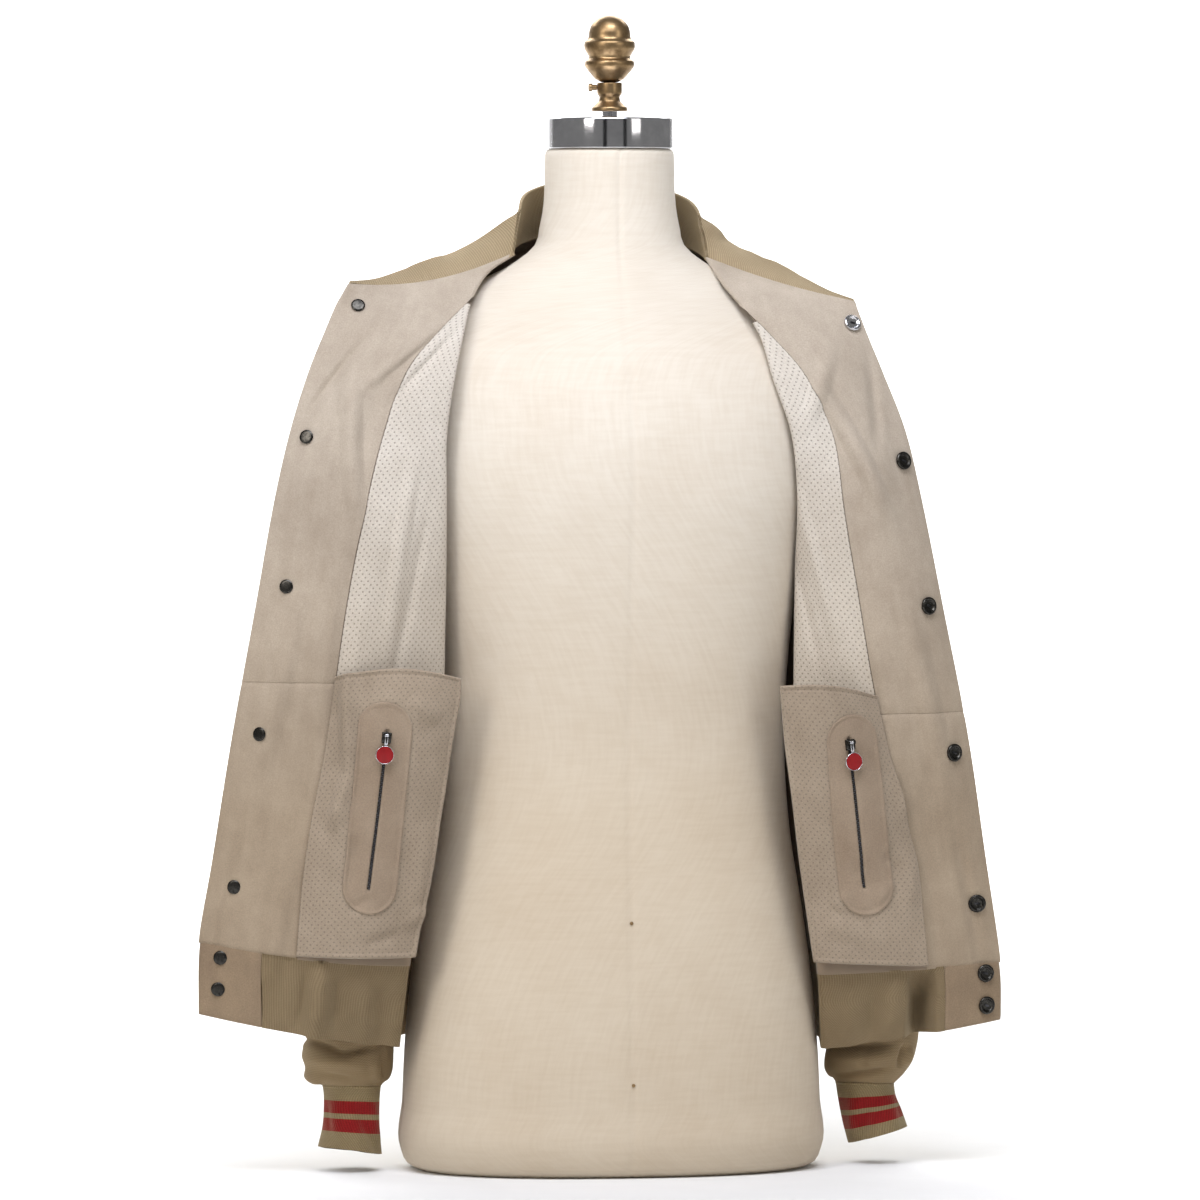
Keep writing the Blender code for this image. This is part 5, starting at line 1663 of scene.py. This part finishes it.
def rounded(corners, radius, steps=5):
    """A profile with a small round at each of its inner corners."""
    made = [corners[0]]
    for before, corner, after in zip(corners, corners[1:], corners[2:]):
        before, corner, after = (np.array(p, float) for p in (before, corner, after))
        back, on = before - corner, after - corner
        reach = min(radius, np.linalg.norm(back) / 2.2, np.linalg.norm(on) / 2.2)
        first, last = corner + unit(back) * reach, corner + unit(on) * reach
        for t in np.linspace(0, 1, steps):
            made.append(tuple((1 - t) ** 2 * first + 2 * t * (1 - t) * corner + t * t * last))
    return made + [corners[-1]]


def turned(name, profile, place, finish, body=BODY, replaces=(), sides=TURNED_SIDES):
    """A piece spun from (radius, height) points, standing at a place given as a matrix."""
    bm = bmesh.new()
    verts = [bm.verts.new((radius, 0, height)) for radius, height in profile]
    edges = [bm.edges.new(pair) for pair in zip(verts, verts[1:])]
    bmesh.ops.spin(bm, geom=verts + edges, cent=(0, 0, 0), axis=(0, 0, 1), dvec=(0, 0, 0),
                   angle=2 * math.pi, steps=sides, use_merge=True)
    bmesh.ops.remove_doubles(bm, verts=bm.verts, dist=1e-5)
    bmesh.ops.holes_fill(bm, edges=[edge for edge in bm.edges if edge.is_boundary], sides=0)
    bmesh.ops.transform(bm, matrix=place, verts=bm.verts)
    return finish_piece(name, made_mesh(name, bm), finish, body, replaces)


def standing(x, y, z):
    """The matrix of an upright place, given in millimetres."""
    return Matrix.Translation(Vector((x, y, z)) * MM) @ Matrix.Scale(MM, 4)


def facing(point, normal, out=0.0):
    """The matrix of a place on a surface, z outwards, that far out from it."""
    turn = Vector((0, 0, 1)).rotation_difference(Vector(normal)).to_matrix().to_4x4()
    place = Vector(point) + Vector(normal) * out
    return Matrix.Translation(place * MM) @ turn @ Matrix.Scale(MM, 4)


CAP_RADIUS, CAP_HEIGHT = 54.0, 26.0
ROD_RADIUS, ROD_HEIGHT = 6.5, 5.0
BARREL_RADIUS, SOCKET_HEIGHT, SCREW_UP = 10.5, 24.0, 20.0
level = FORM_HEIGHT + GAP
turned("neck_cap_chrome",
       rounded([(0, 0), (CAP_RADIUS, 0), (CAP_RADIUS, 2), (CAP_RADIUS, CAP_HEIGHT), (0, CAP_HEIGHT)], 2.2),
       standing(0, NECK_Y, level), chrome, replaces=["neck_cap"], sides=192)
level += CAP_HEIGHT + GAP
turned("neck_rod_chrome", [(0, 0), (ROD_RADIUS, 0), (ROD_RADIUS, ROD_HEIGHT), (0, ROD_HEIGHT)],
       standing(0, NECK_Y, level), chrome, replaces=["neck_rod"])
level += ROD_HEIGHT + GAP
turned("finial_socket_brass",
       rounded([(0, 0), (15, 0), (15, 3), (13.2, 4.6), (9, 8.5), (8.5, 12), (10.3, 14.6),
                (BARREL_RADIUS, 16), (BARREL_RADIUS, SOCKET_HEIGHT), (0, SOCKET_HEIGHT)], 1.0),
       standing(0, NECK_Y, level), brass, replaces=["finial_socket"])
across = Matrix.Translation(Vector((-BARREL_RADIUS - GAP, NECK_Y, level + SCREW_UP)) * MM)
across = across @ Matrix.Rotation(-math.pi / 2, 4, "Y") @ Matrix.Scale(MM, 4)
turned("socket_screw_brass",
       rounded([(0, 0), (2.4, 0), (2.4, 4), (3.4, 4), (3.4, 7), (0, 7)], 0.5),
       across, brass, replaces=["socket_screw"], sides=32)
level += SOCKET_HEIGHT + GAP
KNOB = [
    (0, 0), (7, 0), (12, 2.5), (18.5, 10), (20.8, 13.4), (21, 15.5), (20.6, 17.6), (17.6, 19.8),
    (17.4, 21.6), (18.8, 24), (21.3, 28), (21.5, 31), (21.2, 33.6), (18.2, 36.2), (17.6, 38.6),
    (17.5, 42), (16.2, 46.6), (13.9, 50), (10.8, 53), (7, 55.1), (3.5, 55.9), (0, 56),
]
turned("finial_knob_brass", rounded(KNOB, 1.3, 4), standing(0, NECK_Y, level), brass,
       replaces=["finial_knob"])

PIN_HEIGHTS, PIN_SUNK = (212.0, 78.0), 0.6      # two pins stand in the middle seam of the cover
for height in PIN_HEIGHTS:
    _, front, _, middle, _ = by_first(FORM, [height])[0]
    place = facing((0, middle - front, height), (0, -1, 0), -PIN_SUNK)
    turned(f"pin_head_{int(height)}", rounded([(0, 0), (1.5, 0), (1.5, 1.1), (0, 1.6)], 0.5),
           place, brass, sides=24)
print("turned pieces:", sum("brass" in name or "chrome" in name for name in PIECES))

# %% [markdown]
# ## Sliders and their pulls
#
# Each zip has a small dark slider with two lugs. A chrome link hangs from them on a pin, and a round
# enamel tab with a chrome rim hangs from the link. Link and tab belong to one body of their own.

# %% Sliders, links and tabs
WELT_FACE = POUCH / 2 + GAP + 0.6                 # the inside of the welt, from the pocket's middle
SLIDER_OUT = WELT_FACE + ZIP_THICK + GAP + 0.15   # and the slider's seat
RIM = 0.65                                        # width of a tab's chrome rim

for side, word in SIDES:
    place = zip_frame(side, zip_line(side)[2] - SLIDER_DOWN, SLIDER_OUT)
    bm = bmesh.new()
    rounded_box(bm, (-4.0, -4.5, -1.9), (4.0, 4.5, 1.6), place, 0.7, 3)
    for flip in (-1, 1):
        low, high = sorted((flip * LUG_GAP, flip * (LUG_GAP + LUG_THICK)))
        rounded_box(bm, (low, 0.6, 1.0), (high, 3.8, 1.5 + LUG_OUT), place, 0.5, 3)
    finish_piece(f"zip_slider_{word}_body", made_mesh("slider", bm), gunmetal,
                 replaces=[f"zip_slider_{word}"])

    hang = place @ Matrix.Translation((0, PIVOT_UP, PIVOT_OUT))
    bm = bmesh.new()
    pin = LUG_GAP - GAP
    rounded_box(bm, (-pin, -1.1, -1.1), (pin, 1.1, 1.1), hang, 0.5, 3)
    for flip in (-1, 1):
        low, high = sorted((flip * 0.5, flip * 1.35))
        rounded_box(bm, (low, -LINK_LENGTH + 0.4, -0.7), (high, -0.3, 0.7), hang, 0.35, 3)
    rounded_box(bm, (-1.35, -LINK_LENGTH + 0.1, -0.7), (1.35, -LINK_LENGTH + 1.4, 0.7), hang, 0.35, 3)
    finish_piece(f"pull_{word}_link_chrome", made_mesh("link", bm), chrome,
                 body=f"pull_{word}", replaces=[f"pull_link_{word}"])

    centre = hang @ Matrix.Translation((0, -DISC_DROP, 0))
    rim = [
        (DISC_RADIUS - RIM, -0.9), (DISC_RADIUS - 0.4, -1.3), (DISC_RADIUS, -0.8), (DISC_RADIUS, 0.8),
        (DISC_RADIUS - 0.4, 1.3), (DISC_RADIUS - RIM, 0.9), (DISC_RADIUS - RIM, -0.9),
    ]
    turned(f"pull_{word}_rim_chrome", rounded(rim, 0.2), centre, chrome,
           body=f"pull_{word}", sides=64)
    face = DISC_RADIUS - RIM - 0.02
    turned(f"pull_{word}_enamel", [(0, -0.95), (face, -0.85), (face, 0.85), (face * 0.6, 1.0), (0, 1.05)],
           centre, enamel, body=f"pull_{word}", replaces=[f"pull_tab_{word}"], sides=64)

# %% [markdown]
# ## Snaps
#
# The viewer's left facing shows the flat backs of seven studs. The right facing shows seven sockets:
# a raised rim round a dished middle, with an oblong slot. The top socket has lost its dark plating.

# %% Snaps
STUD_PROFILE = rounded(
    [(0, 0), (STUD_RADIUS - 0.4, 0), (STUD_RADIUS, 0.5), (STUD_RADIUS, 0.9), (STUD_RADIUS - 1.1, 1.5),
     (3.0, 1.62), (0, 1.7)], 0.4)
SOCKET_PROFILE = rounded(
    [(0, 0), (SOCKET_RADIUS - 0.5, 0), (SOCKET_RADIUS, 0.6), (SOCKET_RADIUS, 2.1),
     (SOCKET_RADIUS - 0.7, 2.8), (SOCKET_RADIUS - 1.6, 2.9), (SOCKET_RADIUS - 2.3, 2.6),
     (SOCKET_RADIUS - 3.1, 1.4), (0, 1.2)], 0.5)
SLOT_SIZE = (4.6, 1.7, 0.5)            # the oblong slot in the middle of a socket
for side, kind, profile in ((LEFT, "stud", STUD_PROFILE), (RIGHT, "socket", SOCKET_PROFILE)):
    for number, (x, z, lift) in enumerate(SNAPS[side], 1):
        point, normal = nearest(surfaces[side], x, z)
        place = facing(point, normal, SNAP_SEAT + lift)
        bright = side == RIGHT and number == 1
        finish = chrome if bright else gunmetal
        turned(f"snap_{kind}_{number}_metal", profile, place, finish,
               replaces=[f"snap_{kind}_{number}"], sides=64)
        if side == RIGHT:
            across, along, deep = (size / 2 for size in SLOT_SIZE)
            bm = bmesh.new()
            rounded_box(bm, (-across, -along, 1.25), (across, along, 1.25 + deep), place, 0.35, 3)
            finish_piece(f"snap_slot_{number}", made_mesh("slot", bm), zip_metal)
print("snaps:", len(SNAPS[LEFT]) + len(SNAPS[RIGHT]))

# %% [markdown]
# ## Stage and light
#
# The jacket stands on a pale sweep of paper that curves up behind it. The light is soft and comes
# mostly from above and in front, so the shoulders are bright and the hem falls off. Two dark cards
# beside the line of sight give the chrome and the brass something to reflect.

# %% Sweep of paper
FLOOR_FRONT, FLOOR_BACK, FLOOR_HALF_WIDTH = -11.0, 8.4, 12.0      # metres
SWEEP_RADIUS, SWEEP_TOP = 2.0, 6.0
paper = flecked("paper_sweep", "#ebebea", "#e6e6e5", 0.05, Roughness=0.95)
profile = [(FLOOR_FRONT, 0.0)]
for turn in np.linspace(0, math.pi / 2, 24):
    profile.append((FLOOR_BACK + SWEEP_RADIUS * math.sin(turn), SWEEP_RADIUS * (1 - math.cos(turn))))
profile.append((FLOOR_BACK + SWEEP_RADIUS, SWEEP_TOP))
bm = bmesh.new()
verts = [bm.verts.new((-FLOOR_HALF_WIDTH, y, z)) for y, z in profile]
edges = [bm.edges.new(pair) for pair in zip(verts, verts[1:])]
swept = bmesh.ops.extrude_edge_only(bm, edges=edges)["geom"]
moved = [part for part in swept if isinstance(part, bmesh.types.BMVert)]
bmesh.ops.translate(bm, vec=(2 * FLOOR_HALF_WIDTH, 0, 0), verts=moved)
bmesh.ops.recalc_face_normals(bm, faces=bm.faces)
if sum(face.normal.z for face in bm.faces) < 0:
    bmesh.ops.reverse_faces(bm, faces=bm.faces)
mesh = mesh_of("paper_sweep", bm)
mesh.shade_smooth()
mesh.materials.append(paper)
floor = bpy.data.objects.new("paper_sweep", mesh)
bpy.context.scene.collection.objects.link(floor)
print("sweep:", len(mesh.polygons), "faces")

# %% World and lights
scene = bpy.context.scene
scene.view_settings.view_transform = "Standard"
scene.view_settings.look = "None"
world = bpy.data.worlds.new("studio_air")
scene.world = world
world.use_nodes = True
air = world.node_tree.nodes["Background"]
air.inputs["Color"].default_value = colour("#f4f3f1")
air.inputs["Strength"].default_value = 0.26

LIGHT_TARGET = Vector((0, 0, 0.55))
BACKDROP_TARGET = Vector((0, 10.4, 1.2))
LIGHTS = [
    # name, place, size across and up, watts, colour
    ("overhead", (-0.3, -1.5, 2.75), (2.2, 1.3), 80.0, "#f2f5ff"),
    ("front_left", (-3.6, -3.4, 2.5), (1.5, 2.0), 70.0, "#fffaf5"),
    ("front_right", (3.5, -4.2, 2.3), (1.6, 2.0), 30.0, "#fffbf7"),
    ("floor_behind", (0.0, 4.2, 3.6), (7.0, 3.6), 420.0, "#ffffff"),
    ("backdrop_left", (-5.0, 5.6, 2.6), (2.0, 3.4), 520.0, "#ffffff"),
    ("backdrop_right", (5.0, 5.6, 2.6), (2.0, 3.4), 520.0, "#ffffff"),
]
for name, place, (wide, high), watts, tint in LIGHTS:
    lamp = bpy.data.lights.new(name, "AREA")
    lamp.shape = "RECTANGLE"
    lamp.size, lamp.size_y = wide, high
    lamp.energy = watts
    lamp.color = colour(tint)[:3]
    holder = bpy.data.objects.new(name, lamp)
    holder.location = place
    target = LIGHT_TARGET
    if name.startswith("backdrop"):
        target = BACKDROP_TARGET
    elif name.startswith("floor"):
        target = Vector((place[0], place[1], 0))
    holder.rotation_euler = (target - Vector(place)).to_track_quat("-Z", "Y").to_euler()
    scene.collection.objects.link(holder)

card = flecked("card_black", "#1a1a1a", "#101010", 0.02, Roughness=0.9)
CARDS = [
    # x, y, half width, from z, to z, in metres; the camera itself doesn't see them
    (-1.05, -3.4, 0.22, 0.2, 2.4),
    (1.15, -3.4, 0.20, 0.2, 2.4),
]
CARD_THICK = 0.01
for number, (x, y, half, low, high) in enumerate(CARDS, 1):
    bm = bmesh.new()
    corners = (x - half, y - CARD_THICK / 2, low), (x + half, y + CARD_THICK / 2, high)
    rounded_box(bm, *corners, Matrix(), 0)
    mesh = mesh_of(f"card_{number}", bm)
    mesh.materials.append(card)
    held = bpy.data.objects.new(f"card_{number}", mesh)
    held.visible_camera = False
    held.visible_shadow = False
    held.visible_diffuse = False
    scene.collection.objects.link(held)
print("lights:", len(LIGHTS), "cards:", len(CARDS))
